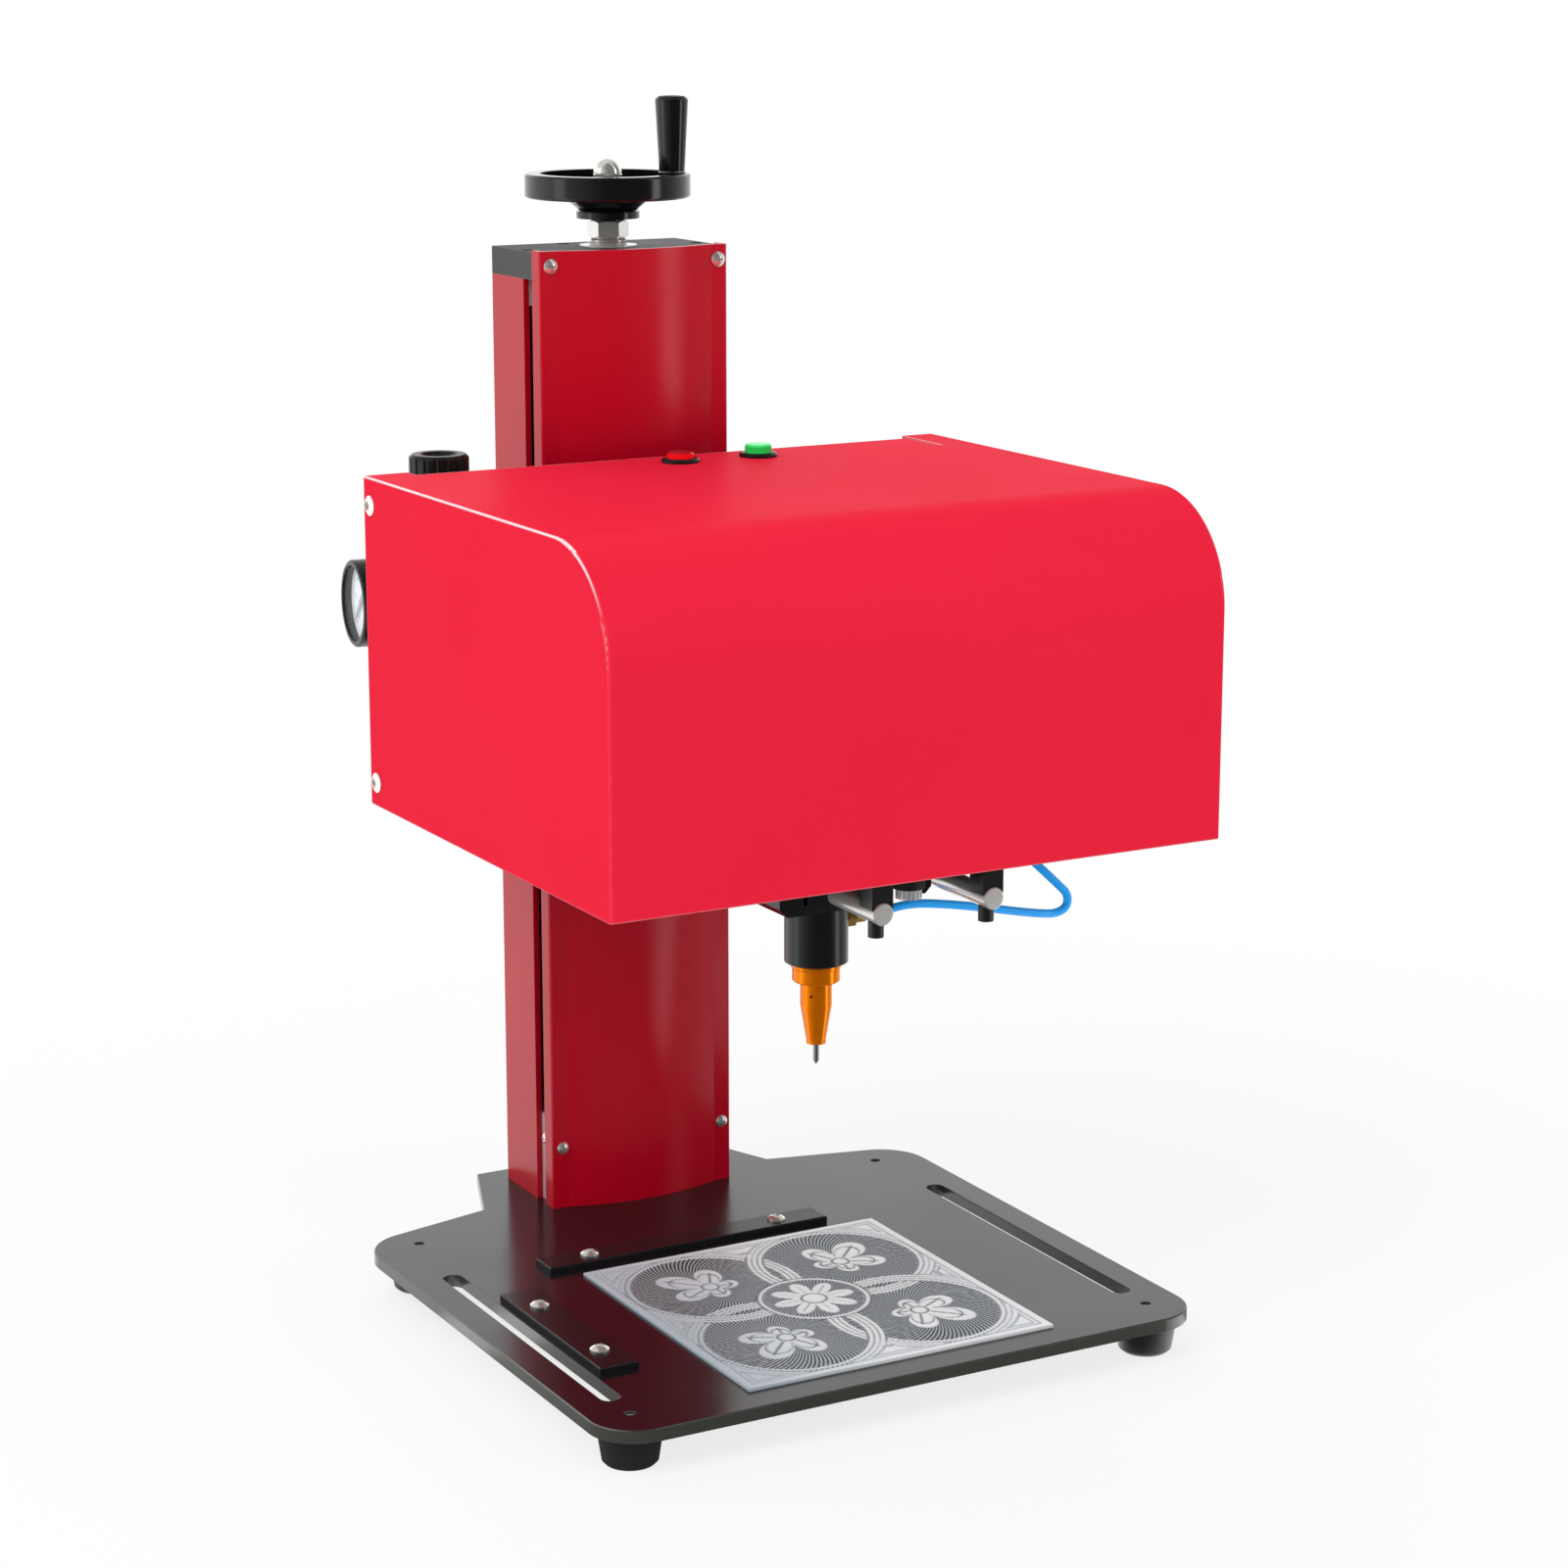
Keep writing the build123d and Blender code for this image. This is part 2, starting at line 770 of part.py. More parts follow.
with BuildPart() as lead_screw:
    turned(
        seat_at(0, screw_y, 0),
        [
            (0, lower_bush_z + bush_floor + running_gap),
            (lower_journal_radius, lower_bush_z + bush_floor + running_gap),
            (lower_journal_radius, lead_low_z),
            (lead_radius, lead_low_z),
            (lead_radius, thrust_z),
            (thrust_radius, thrust_z),
            (thrust_radius, column_height - running_gap),
            (journal_radius, column_height - running_gap),
            (journal_radius, spigot_z),
            (wheel_shaft_radius, spigot_z),
            (wheel_shaft_radius, wheel_seat_z),
            (stud_radius, wheel_seat_z),
            (stud_radius, dome_z),
            (0, dome_z),
        ],
    )
lead_screw.part.label = "lead_screw"
export_step(lead_screw.part, "parts/lead_screw.step")

# Handwheel with three windows in its web and a boss for the crank handle

rim_inner_radius = wheel_radius - rim_width
rim_edge_radius = 1.5
window_inner_radius = 22.5
window_outer_radius = 31.0
window_span = 82.0
spoke_count = 3
spoke_turn = full_turn / spoke_count
window_corner = 3.0
crank_boss_radius = 6.6
crank_boss_height = 0.6
crank_stud_radius = 3.0
grip_x = crank_radius * cos(radians(crank_angle))
grip_y = screw_y + crank_radius * sin(radians(crank_angle))
crank_boss_top_z = rim_top_z + crank_boss_height

with BuildPart() as handwheel:
    turned(
        seat_at(0, screw_y, 0),
        [
            (wheel_shaft_radius + bore_gap, spigot_z),
            (spigot_radius, spigot_z),
            (spigot_radius, hub_z),
            (hub_radius, hub_z),
            (hub_radius, cone_z),
            (cone_foot_radius, cone_z),
            (cone_top_radius, rim_z),
            (wheel_radius, rim_z),
            (wheel_radius, rim_top_z),
            (rim_inner_radius, rim_top_z),
            (rim_inner_radius, web_top_z),
            (hub_boss_radius, web_top_z),
            (hub_boss_radius, wheel_seat_z),
            (wheel_shaft_radius + bore_gap, wheel_seat_z),
        ],
    )
    fillet(handwheel.edges().filter_by(GeomType.CIRCLE).sort_by(SortBy.RADIUS)[-2:], rim_edge_radius)
    for spoke in range(spoke_count):
        start = crank_angle + (spoke_turn - window_span) / 2 + spoke_turn * spoke
        with BuildSketch(level(rim_z)) as window:
            with BuildLine():
                outer = CenterArc((0, screw_y), window_outer_radius, start, window_span)
                inner = CenterArc((0, screw_y), window_inner_radius, start, window_span)
                Line(outer @ 0, inner @ 0)
                Line(outer @ 1, inner @ 1)
            make_face()
            fillet(window.vertices(), window_corner)
        extrude(amount=web_thickness, mode=Mode.SUBTRACT)
    post(grip_x, grip_y, (rim_z, crank_boss_top_z), crank_boss_radius)
    post(
        grip_x,
        grip_y,
        (rim_z - overrun, crank_boss_top_z + overrun),
        crank_stud_radius + bore_gap,
        Mode.SUBTRACT,
    )
handwheel.part.label = "handwheel"
export_step(handwheel.part, "parts/handwheel.step")

# Grip on its stud

grip_gap = 0.25
grip_length = 35.6
grip_foot_radius = 6.2
grip_top_radius = 8.0
grip_rounding = 1.6
grip_recess_radius = 5.0
grip_recess_depth = 4.0
stud_head_radius = 4.4
stud_head_height = 2.4

grip_z = crank_boss_top_z + grip_gap
grip_top_z = grip_z + grip_length
stud_seat_z = grip_top_z - grip_recess_depth + running_gap

with BuildPart() as handle_grip:
    turned(
        seat_at(grip_x, grip_y, 0),
        [
            (crank_stud_radius + running_gap, grip_z),
            (grip_foot_radius, grip_z),
            (grip_top_radius, grip_top_z - grip_rounding),
            (grip_top_radius - grip_rounding, grip_top_z),
            (grip_recess_radius, grip_top_z),
            (grip_recess_radius, grip_top_z - grip_recess_depth),
            (crank_stud_radius + running_gap, grip_top_z - grip_recess_depth),
        ],
    )
handle_grip.part.label = "handle_grip"
export_step(handle_grip.part, "parts/handle_grip.step")

# Bright fasteners of the wheel: washer, lock nut, dome nut and crank stud

with BuildPart() as wheel_fasteners:
    turned(
        seat_at(0, screw_y, washer_z),
        [
            (journal_radius + bore_gap, 0),
            (washer_radius - washer_chamfer, 0),
            (washer_radius, washer_chamfer),
            (washer_radius, washer_height - washer_chamfer),
            (washer_radius - washer_chamfer, washer_height),
            (journal_radius + bore_gap, washer_height),
        ],
    )
    nut_ends = (lock_nut_z, spigot_z)
    hex_nut(0, screw_y, nut_ends, lock_nut_radius, journal_radius + bore_gap, lock_nut_turn)
    nut_ends = (wheel_seat_z, dome_z)
    hex_nut(0, screw_y, nut_ends, dome_nut_radius, stud_radius + bore_gap, dome_nut_turn)
    with BuildSketch(from_front(screw_y)):
        with BuildLine():
            Line((0, dome_z), (dome_radius, dome_z))
            CenterArc((0, dome_z), dome_radius, 0, quarter_turn)
            Line((0, dome_z + dome_radius), (0, dome_z))
        make_face()
    revolve(axis=Axis(at(0, screw_y, 0), (0, 0, 1)))
    turned(
        seat_at(grip_x, grip_y, 0),
        [
            (0, rim_z),
            (crank_stud_radius, rim_z),
            (crank_stud_radius, stud_seat_z),
            (stud_head_radius, stud_seat_z),
            (stud_head_radius, stud_seat_z + stud_head_height),
            (0, stud_seat_z + stud_head_height),
        ],
    )
    drive_recess(
        seat_at(grip_x, grip_y, stud_seat_z + stud_head_height),
        stud_head_radius / 2,
        stud_head_height / 2,
        6,
    )
wheel_fasteners.part.label = "wheel_fasteners"
export_step(wheel_fasteners.part, "parts/wheel_fasteners.step")

# Lift block that runs on the guide rods inside the column

lift_block_half_width = 44.0
lift_block_front_y = 17.2
lift_block_rear_y = 46.0
guide_bush_radius = 8.0
guide_bush_length = 20.0
lift_nut_flange_radius = 15.0
lift_nut_flange_height = 6.0
lift_nut_radius = 10.0
lift_nut_length = 38.0

lift_nut_top_z = yoke_bottom + lift_nut_length
guide_bush_zs = [
    (yoke_bottom, yoke_bottom + guide_bush_length),
    (yoke_top - guide_bush_length, yoke_top),
]

with BuildPart() as lift_block:
    block(
        (-lift_block_half_width, lift_block_half_width),
        (lift_block_front_y, lift_block_rear_y),
        (yoke_bottom, yoke_top),
    )
    for x in (-guide_x, guide_x):
        post(x, screw_y, (yoke_bottom - overrun, yoke_top + overrun), guide_radius + slide_gap, Mode.SUBTRACT)
        for z in guide_bush_zs:
            post(x, screw_y, z, guide_bush_radius + bore_gap, Mode.SUBTRACT)
    post(0, screw_y, (yoke_bottom, lift_nut_top_z), lift_nut_radius + bore_gap, Mode.SUBTRACT)
    post(0, screw_y, (yoke_bottom, yoke_top + overrun), lead_radius + slide_gap, Mode.SUBTRACT)
lift_block.part.label = "lift_block"
export_step(lift_block.part, "parts/lift_block.step")

with BuildPart() as lift_bushings:
    for x in (-guide_x, guide_x):
        for z in guide_bush_zs:
            ring(
                seat_at(x, screw_y, z[0]),
                guide_radius + running_gap,
                guide_bush_radius,
                guide_bush_length,
            )
    turned(
        seat_at(0, screw_y, yoke_bottom),
        [
            (lead_radius + running_gap, -lift_nut_flange_height),
            (lift_nut_flange_radius, -lift_nut_flange_height),
            (lift_nut_flange_radius, 0),
            (lift_nut_radius, 0),
            (lift_nut_radius, lift_nut_length),
            (lead_radius + running_gap, lift_nut_length),
        ],
    )
lift_bushings.part.label = "lift_bushings"
export_step(lift_bushings.part, "parts/lift_bushings.step")

# Yoke: a crossbar through the column's slots with an arm forward on each side

yoke_half_width = 74.0
yoke_arm_inner_x = 58.0
yoke_bar_front_y = 10.5
frame_screw_radius = 2.5
frame_screw_head_radius = 4.3
frame_screw_head_height = 5.0
frame_screw_reach = 24.0
frame_screw_inset = 18.0
arm_window_inset = 20.0
arm_window_margin = 9.0

arm_x = (yoke_half_width + yoke_arm_inner_x) / 2
frame_screw_places = [
    (x, z) for x in (-arm_x, arm_x) for z in (yoke_bottom + frame_screw_inset, yoke_top - frame_screw_inset)
]

with BuildPart() as lift_yoke:
    block(
        (-yoke_half_width, yoke_half_width),
        (yoke_bar_front_y, lift_block_front_y),
        (yoke_bottom, yoke_top),
    )
    for side in (-1, 1):
        block(
            sorted((side * yoke_arm_inner_x, side * yoke_half_width)),
            (back_plate_rear_y, yoke_bar_front_y),
            (yoke_bottom, yoke_top),
        )
    with BuildSketch(from_right(-yoke_half_width - overrun)):
        window_y = (back_plate_rear_y + yoke_bar_front_y) / 2
        with Locations((window_y, (yoke_bottom + yoke_top) / 2)):
            SlotOverall(
                yoke_height - arm_window_inset * 2,
                yoke_bar_front_y - back_plate_rear_y - arm_window_margin * 2,
                rotation=quarter_turn,
            )
    extrude(amount=(yoke_half_width + overrun) * 2, mode=Mode.SUBTRACT)
    for x, z in frame_screw_places:
        screw_end_y = back_plate_front_y + frame_screw_reach + overrun
        bar_along_y(
            x,
            (back_plate_rear_y - overrun, screw_end_y),
            z,
            frame_screw_radius + bore_gap,
            Mode.SUBTRACT,
        )
lift_yoke.part.label = "lift_yoke"
export_step(lift_yoke.part, "parts/lift_yoke.step")

# Head back plate

plate_side_gap = 0.5
plate_low_inset = 3.2
plate_top_inset = 8.3
side_screw_inset_y = 6.0
cover_screw_top_inset = 4.5
cover_screw_low_inset = 8.0
cover_screw_radius = 2.5
cover_screw_reach = 14.0
side_plate_thickness = 8.0
side_plate_height = 32.0
rod_edge_distance = 14.0
plate_screw_radius = 2.0
plate_screw_head_radius = 3.5
plate_screw_head_height = 4.0
plate_screw_reach = 22.0
plate_screw_low_rise = 16.0
plate_screw_top_rise = 27.0
regulator_x = -103.7
port_z = 314.0
nipple_radius = 5.0
socket_x = 104.0
socket_z = 330.0
socket_barrel_radius = 8.5
socket_flange = 24.0
socket_flange_thickness = 3.0

back_plate_half_width = head_half_width - sheet - plate_side_gap
back_plate_bottom = head_bottom + plate_low_inset
back_plate_top = head_top - plate_top_inset
cover_screw_y = back_plate_rear_y - side_screw_inset_y
cover_screw_top_z = back_plate_top - cover_screw_top_inset
cover_screw_low_z = back_plate_bottom + cover_screw_low_inset
side_plate_inner_x = back_plate_half_width - side_plate_thickness
side_plate_mid_x = (back_plate_half_width + side_plate_inner_x) / 2
side_plate_bottom = x_rod_z - rod_edge_distance
side_plate_top = side_plate_bottom + side_plate_height
plate_screw_low_z = side_plate_bottom + plate_screw_low_rise
plate_screw_top_z = side_plate_bottom + plate_screw_top_rise
plate_screw_places = [
    (x, z) for x in (-side_plate_mid_x, side_plate_mid_x) for z in (plate_screw_low_z, plate_screw_top_z)
]

with BuildPart() as back_plate:
    block(
        (-back_plate_half_width, back_plate_half_width),
        (back_plate_front_y, back_plate_rear_y),
        (back_plate_bottom, back_plate_top),
    )
    through = (back_plate_front_y - overrun, back_plate_rear_y + overrun)
    for x, z in frame_screw_places:
        bar_along_y(x, through, z, frame_screw_radius + bore_gap, Mode.SUBTRACT)
    for x, z in plate_screw_places:
        bar_along_y(x, through, z, plate_screw_radius + bore_gap, Mode.SUBTRACT)
    bar_along_y(regulator_x, through, port_z, nipple_radius + bore_gap, Mode.SUBTRACT)
    bar_along_y(socket_x, through, socket_z, socket_barrel_radius + bore_gap, Mode.SUBTRACT)
    for side in (-1, 1):
        for z in (cover_screw_low_z, cover_screw_top_z):
            hole_floor = side * (head_half_width - cover_screw_reach - overrun)
            hole = sorted((hole_floor, side * head_half_width))
            bar_along_x(hole, cover_screw_y, z, cover_screw_radius + bore_gap, Mode.SUBTRACT)
back_plate.part.label = "back_plate"
export_step(back_plate.part, "parts/back_plate.step")

# Side plates that carry the X rods, each with a shelf for the motor or the idler

x_pulley_y = -146.0
x_motor_half = 17.5
motor_wall_gap = 1.5
shelf_reach = 15.0
shelf_half_depth = 18.0
shelf_thickness = 4.0
axle_radius = 2.5

x_pulley_x = side_plate_inner_x - motor_wall_gap - x_motor_half
shelf_inner_x = x_pulley_x - shelf_reach
shelf_bottom = side_plate_top - shelf_thickness

with BuildPart() as side_plates:
    for side in (-1, 1):
        block(
            sorted((side * side_plate_inner_x, side * back_plate_half_width)),
            (y_rod_front_y, back_plate_front_y),
            (side_plate_bottom, side_plate_top),
        )
        block(
            sorted((side * shelf_inner_x, side * side_plate_inner_x)),
            (x_pulley_y - shelf_half_depth, x_pulley_y + shelf_half_depth),
            (shelf_bottom, side_plate_top),
        )
        post(
            side * x_pulley_x,
            x_pulley_y,
            (shelf_bottom - overrun, side_plate_top + overrun),
            axle_radius + running_gap,
            Mode.SUBTRACT,
        )
    for y in (x_rod_front_y, x_rod_rear_y):
        rod_hole = (-back_plate_half_width - overrun, back_plate_half_width + overrun)
        bar_along_x(rod_hole, y, x_rod_z, x_rod_radius + bore_gap, Mode.SUBTRACT)
    for x, z in plate_screw_places:
        screw_end_y = back_plate_rear_y - plate_screw_reach - overrun
        bar_along_y(
            x,
            (screw_end_y, back_plate_front_y + overrun),
            z,
            plate_screw_radius + bore_gap,
            Mode.SUBTRACT,
        )
side_plates.part.label = "side_plates"
export_step(side_plates.part, "parts/side_plates.step")

# Head cover: one sheet shell, open below and behind, bent over its front top edge

cover_edge_radius = 1.3
notch_left_inset = 22.0
notch_right_inset = 20.5
notch_depth = 9.5
slit_width = 3.0
slit_length = 28.5
red_x = -4.5
green_x = 37.0
button_y = -54.5
barrel_radius = 8.0

notch_left_x = -head_half_width + notch_left_inset
notch_right_x = head_half_width - notch_right_inset

with BuildPart() as head_cover:
    with BuildSketch(from_right(-head_half_width)):
        with BuildLine():
            Polyline(
                (head_front_y, head_top - head_bend),
                (head_front_y, head_bottom),
                (head_rear_y, head_bottom),
                (head_rear_y, head_top),
                (head_front_y + head_bend, head_top),
            )
            RadiusArc(
                (head_front_y + head_bend, head_top),
                (head_front_y, head_top - head_bend),
                -head_bend,
            )
        make_face()
    extrude(amount=head_half_width * 2)
    cheeks = head_cover.faces().sort_by(Axis.X)[0].edges() + head_cover.faces().sort_by(Axis.X)[-1].edges()
    folded = cheeks.filter_by_position(Axis.Z, deck_z + head_bottom + overrun, deck_z + head_top + overrun)
    folded = folded.sort_by(Axis.Y)[:-2]
    fillet(folded, cover_edge_radius)
    with BuildSketch(from_right(-head_half_width + sheet)):
        with BuildLine():
            Polyline(
                (head_front_y + sheet, head_top - head_bend),
                (head_front_y + sheet, head_bottom - overrun),
                (head_rear_y + overrun, head_bottom - overrun),
                (head_rear_y + overrun, head_top - sheet),
                (head_front_y + head_bend, head_top - sheet),
            )
            RadiusArc(
                (head_front_y + head_bend, head_top - sheet),
                (head_front_y + sheet, head_top - head_bend),
                -(head_bend - sheet),
            )
        make_face()
    extrude(amount=(head_half_width - sheet) * 2, mode=Mode.SUBTRACT)
    notch_front_y = head_rear_y - notch_depth
    roof = (head_top - sheet - overrun, head_top + overrun)
    block((notch_left_x, notch_right_x), (notch_front_y, head_rear_y + overrun), roof, Mode.SUBTRACT)
    block(
        (notch_right_x, notch_right_x + slit_width),
        (notch_front_y - slit_length, head_rear_y + overrun),
        roof,
        Mode.SUBTRACT,
    )
    for x in (red_x, green_x):
        post(x, button_y, roof, barrel_radius + bore_gap, Mode.SUBTRACT)
    for z in (cover_screw_low_z, cover_screw_top_z):
        width = (-head_half_width - overrun, head_half_width + overrun)
        bar_along_x(width, cover_screw_y, z, cover_screw_radius + bore_gap, Mode.SUBTRACT)
head_cover.part.label = "head_cover"
export_step(head_cover.part, "parts/head_cover.step")

# Head screws: through the cover's sides, and through the back plate both ways

cover_screw_head_radius = 4.7
cover_screw_head_height = 2.3

with BuildPart() as head_screws:
    for side in (-1, 1):
        for z in (cover_screw_low_z, cover_screw_top_z):
            domed_screw(
                seat_at(side * head_half_width, cover_screw_y, z, normal=(side, 0, 0), x_dir=(0, 1, 0)),
                cover_screw_head_radius,
                cover_screw_head_height,
                cover_screw_radius,
                cover_screw_reach,
            )
    for x, z in frame_screw_places:
        socket_screw(
            seat_at(x, back_plate_front_y, z, normal=(0, -1, 0)),
            frame_screw_head_radius,
            frame_screw_head_height,
            frame_screw_radius,
            frame_screw_reach,
        )
    for x, z in plate_screw_places:
        socket_screw(
            seat_at(x, back_plate_rear_y, z, normal=(0, 1, 0)),
            plate_screw_head_radius,
            plate_screw_head_height,
            plate_screw_radius,
            plate_screw_reach,
        )
head_screws.part.label = "head_screws"
export_step(head_screws.part, "parts/head_screws.step")

# Push buttons on the cover's top

bezel_radius = 9.05
bezel_height = 2.0
bezel_chamfer = 0.9
button_radius = 6.35
barrel_length = 18.0
barrel_floor = 3.0
panel_nut_radius = 11.0
panel_nut_height = 3.0
button_travel = 2.5
red_stand = 4.8
green_stand = 5.9
button_rounding = 0.9

button_seat_z = head_top - barrel_length + barrel_floor

with BuildPart() as button_housings:
    for x in (red_x, green_x):
        turned(
            seat_at(x, button_y, head_top),
            [
                (button_radius + slide_gap, bezel_height),
                (bezel_radius - bezel_chamfer, bezel_height),
                (bezel_radius, bezel_height - bezel_chamfer),
                (bezel_radius, 0),
                (barrel_radius, 0),
                (barrel_radius, -barrel_length),
                (0, -barrel_length),
                (0, barrel_floor - barrel_length),
                (button_radius + slide_gap, barrel_floor - barrel_length),
            ],
        )
        nut_top = head_top - sheet
        hex_nut(
            x,
            button_y,
            (nut_top - panel_nut_height, nut_top),
            panel_nut_radius,
            barrel_radius - bore_gap,
        )
        ring(
            seat_at(x, button_y, nut_top - panel_nut_height),
            button_radius + slide_gap,
            barrel_radius,
            panel_nut_height,
        )
button_housings.part.label = "button_housings"
export_step(button_housings.part, "parts/button_housings.step")

with BuildPart() as red_button:
    turned(
        seat_at(red_x, button_y, 0),
        [
            (0, button_seat_z + button_travel + running_gap),
            (button_radius, button_seat_z + button_travel + running_gap),
            (button_radius, head_top + red_stand - button_rounding),
            (button_radius - button_rounding, head_top + red_stand),
            (0, head_top + red_stand),
        ],
    )
red_button.part.label = "red_button"
export_step(red_button.part, "parts/red_button.step")

with BuildPart() as green_button:
    turned(
        seat_at(green_x, button_y, 0),
        [
            (0, button_seat_z + button_travel + running_gap),
            (button_radius, button_seat_z + button_travel + running_gap),
            (button_radius, head_top + green_stand - button_rounding),
            (button_radius - button_rounding, head_top + green_stand),
            (0, head_top + green_stand),
        ],
    )
green_button.part.label = "green_button"
export_step(green_button.part, "parts/green_button.step")

# Pressure regulator behind the head, hung from a bracket

regulator_half = 18.0
regulator_low_z = 296.0
regulator_height = 36.0
regulator_corner = 3.0
drain_radius = 11.0
drain_height = 10.0
bonnet_radius = 15.0
bonnet_height = 18.0
neck_radius = 10.0
neck_height = 2.9
knob_stem_radius = 4.0
knob_stem_length = 16.0
inlet_radius = 6.0
inlet_reach = 8.0
gauge_stem_radius = 5.0
gauge_stem_start = 16.0

regulator_top_z = regulator_low_z + regulator_height
bonnet_top_z = regulator_top_z + bonnet_height
neck_top_z = bonnet_top_z + neck_height
gauge_normal = (-cos(radians(gauge_turn)), sin(radians(gauge_turn)), 0)
gauge_across = (-sin(radians(gauge_turn)), -cos(radians(gauge_turn)), 0)
gauge_seat = seat_at(regulator_x, 0, port_z, normal=gauge_normal, x_dir=gauge_across)

with BuildPart() as regulator_body:
    with BuildSketch(level(regulator_low_z)) as regulator_outline:
        with Locations((regulator_x, 0)):
            Rectangle(regulator_half * 2, regulator_half * 2)
        chamfer(regulator_outline.vertices(), regulator_corner)
    extrude(amount=regulator_height)
    post(regulator_x, 0, (regulator_low_z - drain_height, regulator_low_z), drain_radius)
    post(regulator_x, 0, (regulator_top_z, bonnet_top_z), bonnet_radius)
    post(regulator_x, 0, (bonnet_top_z, neck_top_z), neck_radius)
    stem_hole = (neck_top_z - knob_stem_length - overrun, neck_top_z + overrun)
    post(regulator_x, 0, stem_hole, knob_stem_radius + running_gap, Mode.SUBTRACT)
    bar_along_y(
        regulator_x,
        (-regulator_half - overrun, -regulator_half + inlet_reach),
        port_z,
        nipple_radius + bore_gap,
        Mode.SUBTRACT,
    )
    bar_along_y(
        regulator_x,
        (regulator_half - inlet_reach, regulator_half + overrun),
        port_z,
        inlet_radius + bore_gap,
        Mode.SUBTRACT,
    )
    turned(
        gauge_seat,
        [
            (0, gauge_stem_start - overrun),
            (gauge_stem_radius + bore_gap, gauge_stem_start - overrun),
            (gauge_stem_radius + bore_gap, regulator_half + inlet_reach),
            (0, regulator_half + inlet_reach),
        ],
        mode=Mode.SUBTRACT,
    )
regulator_body.part.label = "regulator_body"
export_step(regulator_body.part, "parts/regulator_body.step")

# Bracket: a bent strip from the back plate to the regulator's neck

bracket_thickness = 2.5
bracket_half_width = 20.0
bracket_leg = 20.0
bracket_front_reach = 12.0

bracket_top_z = bonnet_top_z + bracket_thickness

with BuildPart() as regulator_bracket:
    block(
        (regulator_x - bracket_half_width, regulator_x + bracket_half_width),
        (back_plate_rear_y, back_plate_rear_y + bracket_thickness),
        (bonnet_top_z - bracket_leg, bracket_top_z),
    )
    block(
        (regulator_x - bracket_half_width, regulator_x + bracket_half_width),
        (back_plate_rear_y, bracket_front_reach),
        (bonnet_top_z, bracket_top_z),
    )
    post(
        regulator_x,
        0,
        (bonnet_top_z - overrun, bracket_top_z + overrun),
        neck_radius + bore_gap,
        Mode.SUBTRACT,
    )
regulator_bracket.part.label = "regulator_bracket"
export_step(regulator_bracket.part, "parts/regulator_bracket.step")

# Regulator knob: fluted, with a dished top and a stem into the bonnet

knob_gap = 0.2
knob_radius = 14.1
knob_height = 29.2
knob_chamfer = 1.5
knob_dish_radius = 9.0
knob_dish_depth = 2.5
flute_count = 18
flute_radius = 1.3

knob_z = neck_top_z + knob_gap
knob_top_z = knob_z + knob_height

with BuildPart() as regulator_knob:
    turned(
        seat_at(regulator_x, 0, 0),
        [
            (0, neck_top_z - knob_stem_length),
            (knob_stem_radius, neck_top_z - knob_stem_length),
            (knob_stem_radius, knob_z),
            (knob_radius - knob_chamfer, knob_z),
            (knob_radius, knob_z + knob_chamfer),
            (knob_radius, knob_top_z - knob_chamfer),
            (knob_radius - knob_chamfer, knob_top_z),
            (knob_dish_radius, knob_top_z),
            (knob_dish_radius - knob_dish_depth, knob_top_z - knob_dish_depth),
            (0, knob_top_z - knob_dish_depth),
        ],
    )
    with BuildSketch(level(knob_z + knob_chamfer * 2)):
        with Locations((regulator_x, 0)):
            with PolarLocations(knob_radius + flute_radius / 2, flute_count):
                Circle(flute_radius)
    extrude(amount=knob_height, mode=Mode.SUBTRACT)
regulator_knob.part.label = "regulator_knob"
export_step(regulator_knob.part, "parts/regulator_knob.step")

# Air fittings: a nipple into the head, and a push-in inlet behind

nipple_end_y = -50.0
nipple_hex_radius = 7.0
nipple_bore = 2.5
inlet_hex_radius = 8.0
inlet_hex_length = 5.0
inlet_length = 18.0
inlet_collet_radius = 4.6
inlet_collet_length = 1.5
inlet_bore = 3.0
inlet_depth = 10.0

inlet_end_y = regulator_half + inlet_length

with BuildPart() as air_fittings:
    bar_along_y(regulator_x, (nipple_end_y, -regulator_half + inlet_reach), port_z, nipple_radius)
    with BuildSketch(from_front(-regulator_half)):
        with Locations((regulator_x, port_z)):
            RegularPolygon(nipple_hex_radius, 6)
    extrude(amount=-regulator_half - back_plate_rear_y)
    nipple_hole = (nipple_end_y - overrun, -regulator_half + inlet_reach + overrun)
    bar_along_y(regulator_x, nipple_hole, port_z, nipple_bore, Mode.SUBTRACT)
    bar_along_y(
        regulator_x,
        (regulator_half - inlet_reach, inlet_end_y - inlet_collet_length),
        port_z,
        inlet_radius,
    )
    with BuildSketch(from_front(regulator_half)):
        with Locations((regulator_x, port_z)):
            RegularPolygon(inlet_hex_radius, 6)
    extrude(amount=-inlet_hex_length)
    bar_along_y(
        regulator_x,
        (inlet_end_y - inlet_collet_length, inlet_end_y),
        port_z,
        inlet_collet_radius,
    )
    bar_along_y(
        regulator_x,
        (inlet_end_y - inlet_depth, inlet_end_y + overrun),
        port_z,
        inlet_bore,
        Mode.SUBTRACT,
    )
air_fittings.part.label = "air_fittings"
export_step(air_fittings.part, "parts/air_fittings.step")

# Gauge on the regulator's left side, turned a little towards the rear

gauge_radius = 20.5
gauge_wall = 1.5
gauge_back = 21.5
gauge_depth = 22.0
gauge_lip = 1.3
gauge_lip_width = 2.6
gauge_edge = 0.8
lens_thickness = 1.0
lens_gap = 0.05
dial_thickness = 0.6
dial_drop = 3.6
pointer_thickness = 0.5
pointer_lift = 0.9
pointer_hub_radius = 1.9
pointer_length = 13.0
pointer_tail = 5.5
pointer_root_half = 1.5
pointer_tip_half = 0.35
pointer_rest = 135.0

